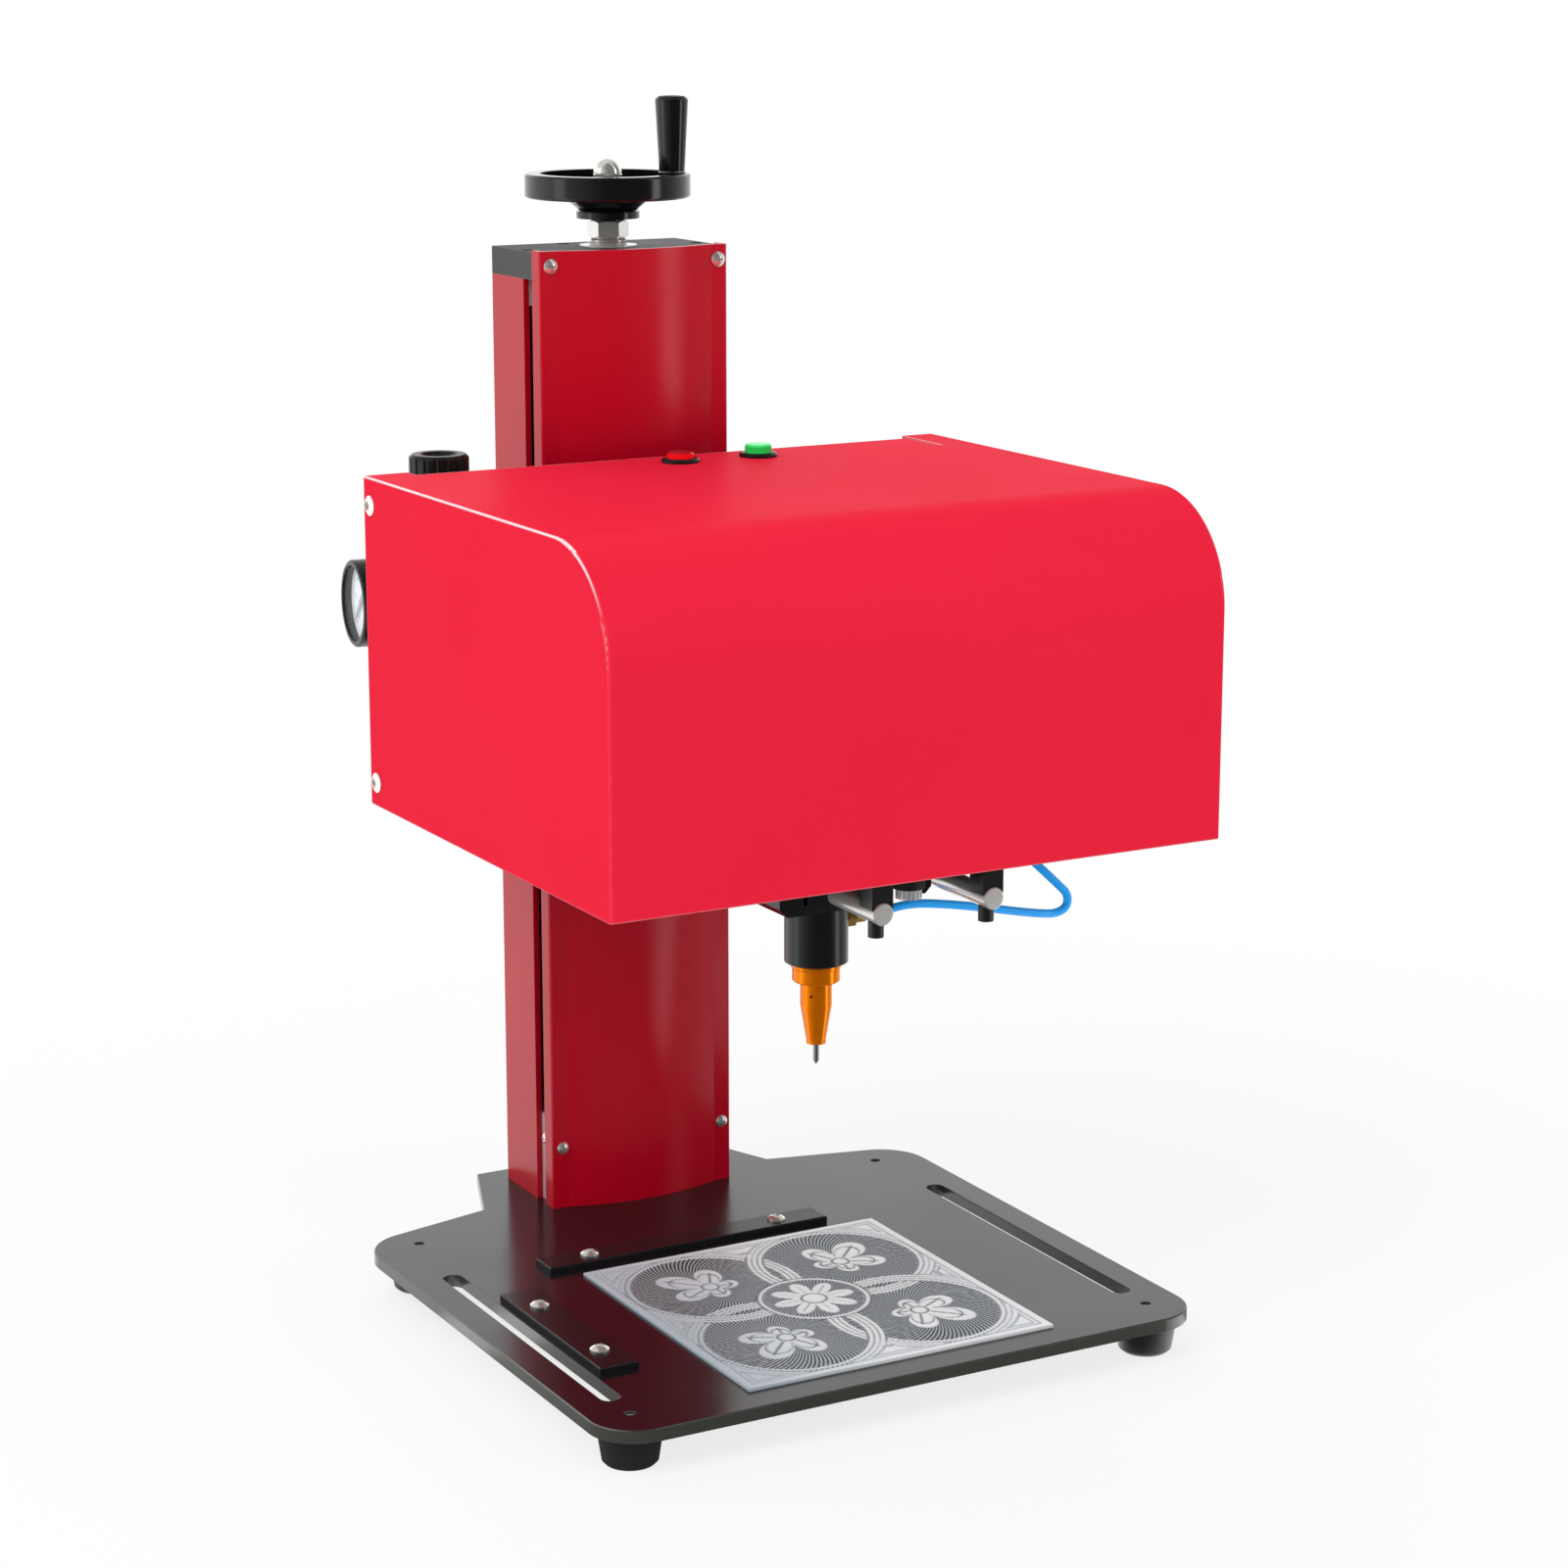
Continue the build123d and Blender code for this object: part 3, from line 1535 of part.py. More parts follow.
gauge_face = gauge_back + gauge_depth
gauge_inner = gauge_radius - gauge_wall
lens_top = gauge_face - gauge_lip
lens_bottom = lens_top - lens_thickness
dial_bottom = gauge_face - gauge_lip - dial_drop - dial_thickness
dial_top = dial_bottom + dial_thickness
pointer_bottom = dial_top + pointer_lift
pointer_across = (
    gauge_across[0] * cos(radians(pointer_rest)),
    gauge_across[1] * cos(radians(pointer_rest)),
    sin(radians(pointer_rest)),
)
pointer_seat = seat_at(regulator_x, 0, port_z, normal=gauge_normal, x_dir=pointer_across)

with BuildPart() as gauge_case:
    turned(
        gauge_seat,
        [
            (0, gauge_stem_start),
            (gauge_stem_radius, gauge_stem_start),
            (gauge_stem_radius, gauge_back),
            (gauge_radius - gauge_edge, gauge_back),
            (gauge_radius, gauge_back + gauge_edge),
            (gauge_radius, gauge_face - gauge_edge),
            (gauge_radius - gauge_edge, gauge_face),
            (gauge_radius - gauge_lip_width, gauge_face),
            (gauge_radius - gauge_lip_width, lens_top),
            (gauge_inner, lens_top),
            (gauge_inner, dial_bottom),
            (0, dial_bottom),
        ],
    )
gauge_case.part.label = "gauge_case"
export_step(gauge_case.part, "parts/gauge_case.step")

with BuildPart() as gauge_dial:
    turned(
        gauge_seat,
        [
            (0, dial_bottom),
            (gauge_inner - bore_gap, dial_bottom),
            (gauge_inner - bore_gap, dial_top),
            (0, dial_top),
        ],
    )
gauge_dial.part.label = "gauge_dial"
export_step(gauge_dial.part, "parts/gauge_dial.step")

with BuildPart() as gauge_lens:
    turned(
        gauge_seat,
        [
            (0, lens_bottom),
            (gauge_inner - bore_gap, lens_bottom),
            (gauge_inner - bore_gap, lens_top - lens_gap),
            (0, lens_top - lens_gap),
        ],
    )
gauge_lens.part.label = "gauge_lens"
export_step(gauge_lens.part, "parts/gauge_lens.step")

with BuildPart() as gauge_pointer:
    with BuildSketch(pointer_seat.offset(pointer_bottom)):
        with BuildLine():
            Polyline(
                (-pointer_root_half, -pointer_tail),
                (pointer_root_half, -pointer_tail),
                (pointer_tip_half, pointer_length),
                (-pointer_tip_half, pointer_length),
                close=True,
            )
        make_face()
        Circle(pointer_hub_radius)
    extrude(amount=pointer_thickness)
gauge_pointer.part.label = "gauge_pointer"
export_step(gauge_pointer.part, "parts/gauge_pointer.step")

# X rods between the side plates

with BuildPart() as x_guide_rods:
    for y in (x_rod_front_y, x_rod_rear_y):
        bar_along_x((-back_plate_half_width, back_plate_half_width), y, x_rod_z, x_rod_radius)
x_guide_rods.part.label = "x_guide_rods"
export_step(x_guide_rods.part, "parts/x_guide_rods.step")

# X motor on the left shelf

x_motor_height = 34.0
motor_corner = 3.5
motor_cap_height = 7.0
motor_stack_inset = 0.6
shaft_hole_depth = 8.0


def motor(x, y, z, half, height):
    """Square stepper motor body between end caps, standing on z, with its shaft hole below."""
    layers = [
        (z, motor_cap_height, half),
        (z + motor_cap_height, height - motor_cap_height * 2, half - motor_stack_inset),
        (z + height - motor_cap_height, motor_cap_height, half),
    ]
    for low, thickness, side in layers:
        with BuildSketch(level(low)) as layer:
            with Locations((x, y)):
                Rectangle(side * 2, side * 2)
            chamfer(layer.vertices(), motor_corner)
        extrude(layer.sketch, amount=thickness)
    post(x, y, (z - overrun, z + shaft_hole_depth), axle_radius + running_gap, Mode.SUBTRACT)


with BuildPart() as x_motor:
    motor(-x_pulley_x, x_pulley_y, side_plate_top, x_motor_half, x_motor_height)
x_motor.part.label = "x_motor"
export_step(x_motor.part, "parts/x_motor.step")

# X pulleys, flanged and toothed, and their belt

pulley_radius = 5.9
pulley_flange_radius = 8.0
pulley_flange_height = 1.5
belt_gap = 0.12
belt_thickness = 1.2
belt_width = 5.0
belt_play = 0.3
tooth_count = 18
tooth_depth = 0.7
tooth_width = 0.9
shaft_sink = 6.0

belt_inner = pulley_radius + belt_gap
belt_outer = belt_inner + belt_thickness
x_pulley_height = pulley_flange_height * 2 + belt_width + belt_play * 2
x_pulley_top = shelf_bottom - belt_play
x_pulley_low = x_pulley_top - x_pulley_height
x_belt_z = x_pulley_low + pulley_flange_height + belt_play


def toothed_pulley(x, y, z, toothed_z, flanges):
    """Pulley between a low and a high z, toothed over one height, with flanges outside it."""
    post(x, y, z, pulley_radius)
    with BuildSketch(level(toothed_z[0])) as grooves:
        with Locations((x, y)):
            with PolarLocations(pulley_radius, tooth_count):
                Rectangle(tooth_depth * 2, tooth_width)
    extrude(grooves.sketch, amount=toothed_z[1] - toothed_z[0], mode=Mode.SUBTRACT)
    for flange_z in flanges:
        post(x, y, flange_z, pulley_flange_radius)


x_flanges = [
    (x_pulley_low, x_pulley_low + pulley_flange_height),
    (x_pulley_top - pulley_flange_height, x_pulley_top),
]

with BuildPart() as x_drive_pulley:
    toothed_pulley(
        -x_pulley_x,
        x_pulley_y,
        (x_pulley_low, x_pulley_top),
        (x_pulley_low, x_pulley_top),
        x_flanges,
    )
    post(-x_pulley_x, x_pulley_y, (x_pulley_top, side_plate_top + shaft_sink), axle_radius)
x_drive_pulley.part.label = "x_drive_pulley"
export_step(x_drive_pulley.part, "parts/x_drive_pulley.step")

with BuildPart() as x_idler_pulley:
    toothed_pulley(
        x_pulley_x,
        x_pulley_y,
        (x_pulley_low, x_pulley_top),
        (x_pulley_low, x_pulley_top),
        x_flanges,
    )
    post(x_pulley_x, x_pulley_y, (x_pulley_top, side_plate_top), axle_radius)
x_idler_pulley.part.label = "x_idler_pulley"
export_step(x_idler_pulley.part, "parts/x_idler_pulley.step")

with BuildPart() as x_belt:
    with BuildSketch(level(x_belt_z)):
        with Locations((0, x_pulley_y)):
            SlotCenterToCenter(x_pulley_x * 2, belt_outer * 2)
            SlotCenterToCenter(x_pulley_x * 2, belt_inner * 2, mode=Mode.SUBTRACT)
    extrude(amount=belt_width)
x_belt.part.label = "x_belt"
export_step(x_belt.part, "parts/x_belt.step")

# Solenoid valve on the back plate's front, with its coil on top

valve_left_x = -60.0
valve_width = 24.0
valve_depth = 22.0
valve_low_z = 300.0
valve_height = 22.0
coil_inset = 3.0
coil_height = 26.0
valve_port_radius = 4.0
valve_port_length = 8.0
valve_port_inset = 7.0

valve_mid_x = valve_left_x + valve_width / 2
valve_mid_y = back_plate_front_y - valve_depth / 2
valve_top_z = valve_low_z + valve_height

with BuildPart() as solenoid_valve:
    block(
        (valve_left_x, valve_left_x + valve_width),
        (back_plate_front_y - valve_depth, back_plate_front_y),
        (valve_low_z, valve_top_z),
    )
    block(
        (valve_left_x + coil_inset, valve_left_x + valve_width - coil_inset),
        (back_plate_front_y - valve_depth + coil_inset, back_plate_front_y),
        (valve_top_z, valve_top_z + coil_height),
    )
    for x in (valve_mid_x - valve_port_inset, valve_mid_x + valve_port_inset):
        post(x, valve_mid_y, (valve_low_z - valve_port_length, valve_low_z), valve_port_radius)
solenoid_valve.part.label = "solenoid_valve"
export_step(solenoid_valve.part, "parts/solenoid_valve.step")

# Control socket in the back plate

socket_nose_radius = 7.9
socket_nose_length = 9.0
socket_shoulder_radius = 9.0
socket_shoulder_length = 1.5
socket_inner_radius = 6.4
socket_recess = 7.0
socket_barrel_end_y = -50.0
socket_corner = 3.0
contact_radius = 0.7
contact_ring_radius = 3.8
contact_count = 6
contact_length = 5.0

socket_flange_y = back_plate_rear_y + socket_flange_thickness
socket_shoulder_y = socket_flange_y + socket_shoulder_length
socket_end_y = socket_shoulder_y + socket_nose_length
socket_floor_y = socket_end_y - socket_recess

with BuildPart() as connector_socket:
    bar_along_y(socket_x, (socket_barrel_end_y, back_plate_rear_y), socket_z, socket_barrel_radius)
    with BuildSketch(from_front(back_plate_rear_y)) as flange_outline:
        with Locations((socket_x, socket_z)):
            Rectangle(socket_flange, socket_flange)
        fillet(flange_outline.vertices(), socket_corner)
    extrude(amount=-socket_flange_thickness)
    bar_along_y(socket_x, (socket_flange_y, socket_shoulder_y), socket_z, socket_shoulder_radius)
    bar_along_y(socket_x, (socket_shoulder_y, socket_end_y), socket_z, socket_nose_radius)
    socket_hole = (socket_floor_y, socket_end_y + overrun)
    bar_along_y(socket_x, socket_hole, socket_z, socket_inner_radius, Mode.SUBTRACT)
    with BuildSketch(from_front(socket_floor_y)):
        with Locations((socket_x, socket_z)):
            with PolarLocations(contact_ring_radius, contact_count):
                Circle(contact_radius)
    extrude(amount=-contact_length)
connector_socket.part.label = "connector_socket"
export_step(connector_socket.part, "parts/connector_socket.step")

# Cross plate: bearing housings on top for the X rods, and a clamp round the X belt

cross_half_width = 38.6
cross_plate_front_y = -262.0
cross_plate_rear_y = -50.0
housing_half_width = 25.0
housing_half_depth = 12.0
housing_top = 256.0
x_bush_radius = 8.0
y_pulley_front_y = -236.0
y_pulley_rear_y = -94.0
belt_clamp_half_width = 6.0
belt_clamp_wall = 3.5

belt_front_y = x_pulley_y - belt_outer
belt_back_y = x_pulley_y - belt_inner
clamp_screw_setback = 6.7
clamp_depth = 11.0
clamp_front_setback = 1.0
clamp_screw_radius = 2.0
rod_clamp_ys = (
    y_rod_front_y + clamp_front_setback + clamp_depth / 2,
    y_rod_rear_y - clamp_front_setback - clamp_depth / 2,
)
clamp_screw_ys = (y_rod_front_y + clamp_screw_setback, y_rod_rear_y - clamp_screw_setback)
clamp_screw_places = [(x, y) for x in y_rod_xs for y in clamp_screw_ys]

with BuildPart() as cross_plate:
    block(
        (cross_x - cross_half_width, cross_x + cross_half_width),
        (cross_plate_front_y, cross_plate_rear_y),
        (cross_plate_bottom, cross_plate_top),
    )
    for y in (x_rod_front_y, x_rod_rear_y):
        block(
            (cross_x - housing_half_width, cross_x + housing_half_width),
            (y - housing_half_depth, y + housing_half_depth),
            (cross_plate_top, housing_top),
        )
        bore = (cross_x - housing_half_width - overrun, cross_x + housing_half_width + overrun)
        bar_along_x(bore, y, x_rod_z, x_bush_radius + bore_gap, Mode.SUBTRACT)
    block(
        (cross_x - belt_clamp_half_width, cross_x + belt_clamp_half_width),
        (belt_front_y - slide_gap - belt_clamp_wall, belt_back_y + slide_gap + belt_clamp_wall),
        (cross_plate_top, x_belt_z + belt_width),
    )
    block(
        (cross_x - belt_clamp_half_width - overrun, cross_x + belt_clamp_half_width + overrun),
        (belt_front_y - slide_gap, belt_back_y + slide_gap),
        (x_belt_z - slide_gap, x_belt_z + belt_width + overrun),
        Mode.SUBTRACT,
    )
    for y in (y_pulley_front_y, y_pulley_rear_y):
        post(
            cross_x,
            y,
            (cross_plate_bottom - overrun, cross_plate_top + overrun),
            axle_radius + running_gap,
            Mode.SUBTRACT,
        )
cross_plate.part.label = "cross_plate"
export_step(cross_plate.part, "parts/cross_plate.step")

with BuildPart() as cross_bushes:
    for y in (x_rod_front_y, x_rod_rear_y):
        turned(
            seat_at(cross_x - housing_half_width, y, x_rod_z, normal=(1, 0, 0), x_dir=(0, 1, 0)),
            [
                (x_rod_radius + running_gap, 0),
                (x_bush_radius, 0),
                (x_bush_radius, housing_half_width * 2),
                (x_rod_radius + running_gap, housing_half_width * 2),
            ],
        )
cross_bushes.part.label = "cross_bushes"
export_step(cross_bushes.part, "parts/cross_bushes.step")

# Rod clamps under the cross plate, and the cheek beside the front pulley

clamp_half_width = 5.25
clamp_bottom = 210.5
cheek_gap = 0.6
cheek_thickness = 5.0
cheek_front_y = -234.0
cheek_depth = 8.0
cheek_bottom = 207.0
cheek_chamfer = 3.0
clamp_screw_sink = 10.0

cheek_x = cross_x + belt_outer + cheek_gap
cheek_right_x = cheek_x + cheek_thickness

with BuildPart() as rod_clamps:
    for x in y_rod_xs:
        for y in rod_clamp_ys:
            block(
                (x - clamp_half_width, x + clamp_half_width),
                (y - clamp_depth / 2, y + clamp_depth / 2),
                (clamp_bottom, cross_plate_bottom),
            )
        rod_hole = (y_rod_front_y - overrun, y_rod_rear_y + overrun)
        bar_along_y(x, rod_hole, y_rod_z, y_rod_radius + bore_gap, Mode.SUBTRACT)
    for x, y in clamp_screw_places:
        screw_hole = (y_rod_z, y_rod_z + y_rod_radius + clamp_screw_sink)
        post(x, y, screw_hole, clamp_screw_radius + bore_gap, Mode.SUBTRACT)
    with BuildSketch(from_front(cheek_front_y)):
        with BuildLine():
            Polyline(
                (cheek_x, cheek_bottom),
                (cheek_right_x - cheek_chamfer, cheek_bottom),
                (cheek_right_x, cheek_bottom + cheek_chamfer),
                (cheek_right_x, cross_plate_bottom),
                (cheek_x, cross_plate_bottom),
                close=True,
            )
        make_face()
    extrude(amount=-cheek_depth)
rod_clamps.part.label = "rod_clamps"
export_step(rod_clamps.part, "parts/rod_clamps.step")

# Y rods, bored across for the clamp screws

with BuildPart() as y_guide_rods:
    for x in y_rod_xs:
        bar_along_y(x, (y_rod_front_y, y_rod_rear_y), y_rod_z, y_rod_radius)
    chamfer(y_guide_rods.edges().filter_by(GeomType.CIRCLE), edge_break)
    for x, y in clamp_screw_places:
        across = (y_rod_z - y_rod_radius - overrun, y_rod_z + y_rod_radius + overrun)
        post(x, y, across, clamp_screw_radius + bore_gap, Mode.SUBTRACT)
y_guide_rods.part.label = "y_guide_rods"
export_step(y_guide_rods.part, "parts/y_guide_rods.step")

# Clamp screws from below, their heads hollowed to the rods

clamp_head_radius = 3.5
clamp_head_low_z = 197.3
clamp_socket_radius = 1.9
clamp_socket_depth = 2.6

with BuildPart() as rod_clamp_screws:
    for x, y in clamp_screw_places:
        post(x, y, (clamp_head_low_z, y_rod_z - y_rod_radius + overrun), clamp_head_radius)
    for x in y_rod_xs:
        rod_length = (y_rod_front_y - overrun, y_rod_rear_y + overrun)
        bar_along_y(x, rod_length, y_rod_z, y_rod_radius + bore_gap, Mode.SUBTRACT)
    for x, y in clamp_screw_places:
        shank = (y_rod_z - y_rod_radius - overrun, y_rod_z + y_rod_radius + clamp_screw_sink - overrun)
        post(x, y, shank, clamp_screw_radius)
        drive_recess(
            seat_at(x, y, clamp_head_low_z, normal=(0, 0, -1)),
            clamp_socket_radius,
            clamp_socket_depth,
            6,
        )
rod_clamp_screws.part.label = "rod_clamp_screws"
export_step(rod_clamp_screws.part, "parts/rod_clamp_screws.step")

# Y motor on the cross plate, the two Y pulleys below it, and their belt

y_motor_half = 14.0
y_motor_height = 32.0
y_pulley_low = 206.8
y_pulley_height = 10.2
y_belt_rise = 4.6

y_pulley_top = y_pulley_low + y_pulley_height
y_belt_z = y_pulley_low + y_belt_rise

with BuildPart() as y_motor:
    motor(cross_x, y_pulley_rear_y, cross_plate_top, y_motor_half, y_motor_height)
y_motor.part.label = "y_motor"
export_step(y_motor.part, "parts/y_motor.step")

with BuildPart() as y_drive_pulley:
    toothed_pulley(cross_x, y_pulley_rear_y, (y_pulley_low, y_pulley_top), (y_pulley_low, y_pulley_top), [])
    post(cross_x, y_pulley_rear_y, (y_pulley_top, cross_plate_top + shaft_sink), axle_radius)
y_drive_pulley.part.label = "y_drive_pulley"
export_step(y_drive_pulley.part, "parts/y_drive_pulley.step")

with BuildPart() as y_idler_pulley:
    toothed_pulley(cross_x, y_pulley_front_y, (y_pulley_low, y_pulley_top), (y_pulley_low, y_pulley_top), [])
    post(cross_x, y_pulley_front_y, (y_pulley_top, cross_plate_top), axle_radius)
y_idler_pulley.part.label = "y_idler_pulley"
export_step(y_idler_pulley.part, "parts/y_idler_pulley.step")

with BuildPart() as y_belt:
    with BuildSketch(level(y_belt_z)):
        with Locations((cross_x, (y_pulley_front_y + y_pulley_rear_y) / 2)):
            span = y_pulley_rear_y - y_pulley_front_y
            SlotCenterToCenter(span, belt_outer * 2, rotation=quarter_turn)
            SlotCenterToCenter(span, belt_inner * 2, rotation=quarter_turn, mode=Mode.SUBTRACT)
    extrude(amount=belt_width)
y_belt.part.label = "y_belt"
export_step(y_belt.part, "parts/y_belt.step")

# Pen block on the Y rods: a clamp side, an arm over the belt and a second bearing

clamp_side_left_x = -44.4
clamp_side_right_x = 3.6
clamp_side_front_y = -222.0
pen_block_rear_y = -191.0
clamp_side_height = 20.0
clamp_side_chamfer = 4.0
arm_front_y = -203.0
arm_bottom = 204.0
arm_top = 224.0
arm_right_x = 51.0
arm_window_left_x = 5.0
arm_window_right_x = 20.5
arm_window_top = 219.0
right_bearing_x = 31.0
y_bush_radius = 6.0
clamp_gap_x = -31.5
clamp_gap_width = 2.4
clamp_gap_bottom = 205.5
anchor_right_x = 58.0
anchor_bottom = 213.0
anchor_top = 225.0

with BuildPart() as pen_block:
    with BuildSketch(from_front(clamp_side_front_y)):
        with BuildLine():
            Polyline(
                (clamp_side_left_x + clamp_side_chamfer, pen_block_bottom),
                (clamp_side_right_x, pen_block_bottom),
                (clamp_side_right_x, pen_block_bottom + clamp_side_height),
                (clamp_side_left_x, pen_block_bottom + clamp_side_height),
                (clamp_side_left_x, pen_block_bottom + clamp_side_chamfer),
                close=True,
            )
        make_face()
    extrude(amount=clamp_side_front_y - pen_block_rear_y)
    block((clamp_side_right_x, arm_right_x), (arm_front_y, pen_block_rear_y), (arm_bottom, arm_top))
    block((right_bearing_x, arm_right_x), (arm_front_y, pen_block_rear_y), (pen_block_bottom, arm_bottom))
    block((arm_right_x, anchor_right_x), (arm_front_y, pen_block_rear_y), (anchor_bottom, anchor_top))
    window_y = (arm_front_y - overrun, pen_block_rear_y + overrun)
    window_x = (arm_window_left_x, arm_window_right_x)
    block(window_x, window_y, (arm_bottom - overrun, arm_window_top), Mode.SUBTRACT)
    block(
        (clamp_gap_x - clamp_gap_width / 2, clamp_gap_x + clamp_gap_width / 2),
        (clamp_side_front_y - overrun, pen_block_rear_y + overrun),
        (clamp_gap_bottom, pen_block_bottom + clamp_side_height + overrun),
        Mode.SUBTRACT,
    )
    for x in y_rod_xs:
        rod_hole = (clamp_side_front_y - overrun, pen_block_rear_y + overrun)
        bar_along_y(x, rod_hole, y_rod_z, y_bush_radius + bore_gap, Mode.SUBTRACT)
pen_block.part.label = "pen_block"
export_step(pen_block.part, "parts/pen_block.step")

with BuildPart() as pen_bushes:
    for x, front in zip(y_rod_xs, (clamp_side_front_y, arm_front_y)):
        turned(
            seat_at(x, front, y_rod_z, normal=(0, 1, 0)),
            [
                (y_rod_radius + running_gap, 0),
                (y_bush_radius, 0),
                (y_bush_radius, pen_block_rear_y - front),
                (y_rod_radius + running_gap, pen_block_rear_y - front),
            ],
        )
pen_bushes.part.label = "pen_bushes"
export_step(pen_bushes.part, "parts/pen_bushes.step")

# Pen: a black barrel, an orange nozzle screwed up into it, and the sprung needle

barrel_outer = 14.25
barrel_chamfer = 3.0
barrel_bottom_chamfer_height = 1.4
barrel_low_z = 173.9
piston_radius = 6.0
piston_height = 4.0
piston_room = 2.0
spigot_outer = 8.0
spigot_length = 8.0
nozzle_ring_radius = 11.2
nozzle_ring_height = 1.2
collar_radius = 10.7
collar_height = 6.6
collar_chamfer = 0.5
waist_radius = 7.1
waist_height = 11.0
cone_end_radius = 4.4
nozzle_cone_height = 16.1
cone_lip = 1.8
spring_room_radius = 4.0
spring_room_floor = 9.5
needle_radius = 1.35
needle_point = 2.2
needle_travel = 3.0
vent_radius = 0.75
vent_drop = 5.9
vent_angle = 222.9
brass_z = 193.2
brass_thread_radius = 2.5
brass_thread_length = 4.5
air_way_radius = 1.2

nozzle_shoulder_z = barrel_low_z
collar_top_z = nozzle_shoulder_z - nozzle_ring_height
collar_low_z = collar_top_z - collar_height
waist_low_z = collar_low_z - waist_height
cone_low_z = waist_low_z - nozzle_cone_height
nozzle_low_z = cone_low_z - cone_lip
spigot_top_z = barrel_low_z + spigot_length
piston_z = spigot_top_z + needle_travel + running_gap
piston_top_z = piston_z + piston_height
barrel_right_x = pen_x + barrel_outer

with BuildPart() as pen_body:
    turned(
        seat_at(pen_x, pen_y, 0),
        [
            (spigot_outer + bore_gap, barrel_low_z),
            (barrel_outer - barrel_chamfer, barrel_low_z),
            (barrel_outer, barrel_low_z + barrel_bottom_chamfer_height),
            (barrel_outer, pen_block_bottom),
            (0, pen_block_bottom),
            (0, piston_top_z + piston_room),
            (piston_radius + running_gap, piston_top_z + piston_room),
            (piston_radius + running_gap, spigot_top_z),
            (spigot_outer + bore_gap, spigot_top_z),
        ],
    )
    post(pen_x, pen_y, (piston_top_z, brass_z), air_way_radius, Mode.SUBTRACT)
    bar_along_x((pen_x, barrel_right_x + overrun), pen_y, brass_z, air_way_radius, Mode.SUBTRACT)
    thread_hole = (barrel_right_x - brass_thread_length - overrun, barrel_right_x + overrun)
    bar_along_x(thread_hole, pen_y, brass_z, brass_thread_radius + bore_gap, Mode.SUBTRACT)
pen_body.part.label = "pen_body"
export_step(pen_body.part, "parts/pen_body.step")

with BuildPart() as pen_nozzle:
    turned(
        seat_at(pen_x, pen_y, 0),
        [
            (needle_radius + running_gap, nozzle_low_z),
            (cone_end_radius, nozzle_low_z),
            (cone_end_radius, cone_low_z),
            (waist_radius, waist_low_z),
            (waist_radius, collar_low_z),
            (collar_radius - collar_chamfer, collar_low_z),
            (collar_radius, collar_low_z + collar_chamfer),
            (collar_radius, collar_top_z - collar_chamfer),
            (collar_radius - collar_chamfer, collar_top_z),
            (nozzle_ring_radius, collar_top_z),
            (nozzle_ring_radius, nozzle_shoulder_z),
            (spigot_outer, nozzle_shoulder_z),
            (spigot_outer, spigot_top_z),
            (spring_room_radius, spigot_top_z),
            (spring_room_radius, nozzle_low_z + spring_room_floor),
            (needle_radius + running_gap, nozzle_low_z + spring_room_floor),
        ],
    )
    vent_direction = (cos(radians(vent_angle)), sin(radians(vent_angle)), 0)
    vent_seat = seat_at(pen_x, pen_y, collar_low_z - vent_drop, normal=vent_direction, x_dir=(0, 0, 1))
    turned(
        vent_seat,
        [
            (0, spring_room_radius / 2),
            (vent_radius, spring_room_radius / 2),
            (vent_radius, waist_radius + overrun),
            (0, waist_radius + overrun),
        ],
        mode=Mode.SUBTRACT,
    )
pen_nozzle.part.label = "pen_nozzle"
export_step(pen_nozzle.part, "parts/pen_nozzle.step")

with BuildPart() as marking_needle:
    turned(
        seat_at(pen_x, pen_y, 0),
        [
            (0, needle_tip_z),
            (needle_radius, needle_tip_z + needle_point),
            (needle_radius, piston_z),
            (piston_radius, piston_z),
            (piston_radius, piston_top_z),
            (0, piston_top_z),
        ],
    )
marking_needle.part.label = "marking_needle"
export_step(marking_needle.part, "parts/marking_needle.step")

spring_inner_radius = 2.0
spring_outer_radius = 3.2

with BuildPart() as needle_spring:
    ring(
        seat_at(pen_x, pen_y, nozzle_low_z + spring_room_floor),
        spring_inner_radius,
        spring_outer_radius,
        piston_z - running_gap - nozzle_low_z - spring_room_floor,
    )
needle_spring.part.label = "needle_spring"
export_step(needle_spring.part, "parts/needle_spring.step")

# Air fittings of the pen: a brass elbow stub on the barrel and a socket on the arm

brass_hex_radius = 4.6
brass_hex_length = 4.6
brass_neck_radius = 3.3
brass_neck_length = 5.2
brass_collet_radius = 2.9
brass_collet_length = 2.4
tube_radius = 2.0
tube_seat = 6.0
tube_gap = 0.15
anchor_z = 219.0
anchor_y = -197.0
anchor_radius = 4.0
anchor_length = 8.0

brass_neck_x = barrel_right_x + brass_hex_length
brass_collet_x = brass_neck_x + brass_neck_length
brass_end_x = brass_collet_x + brass_collet_length
anchor_end_x = anchor_right_x + anchor_length

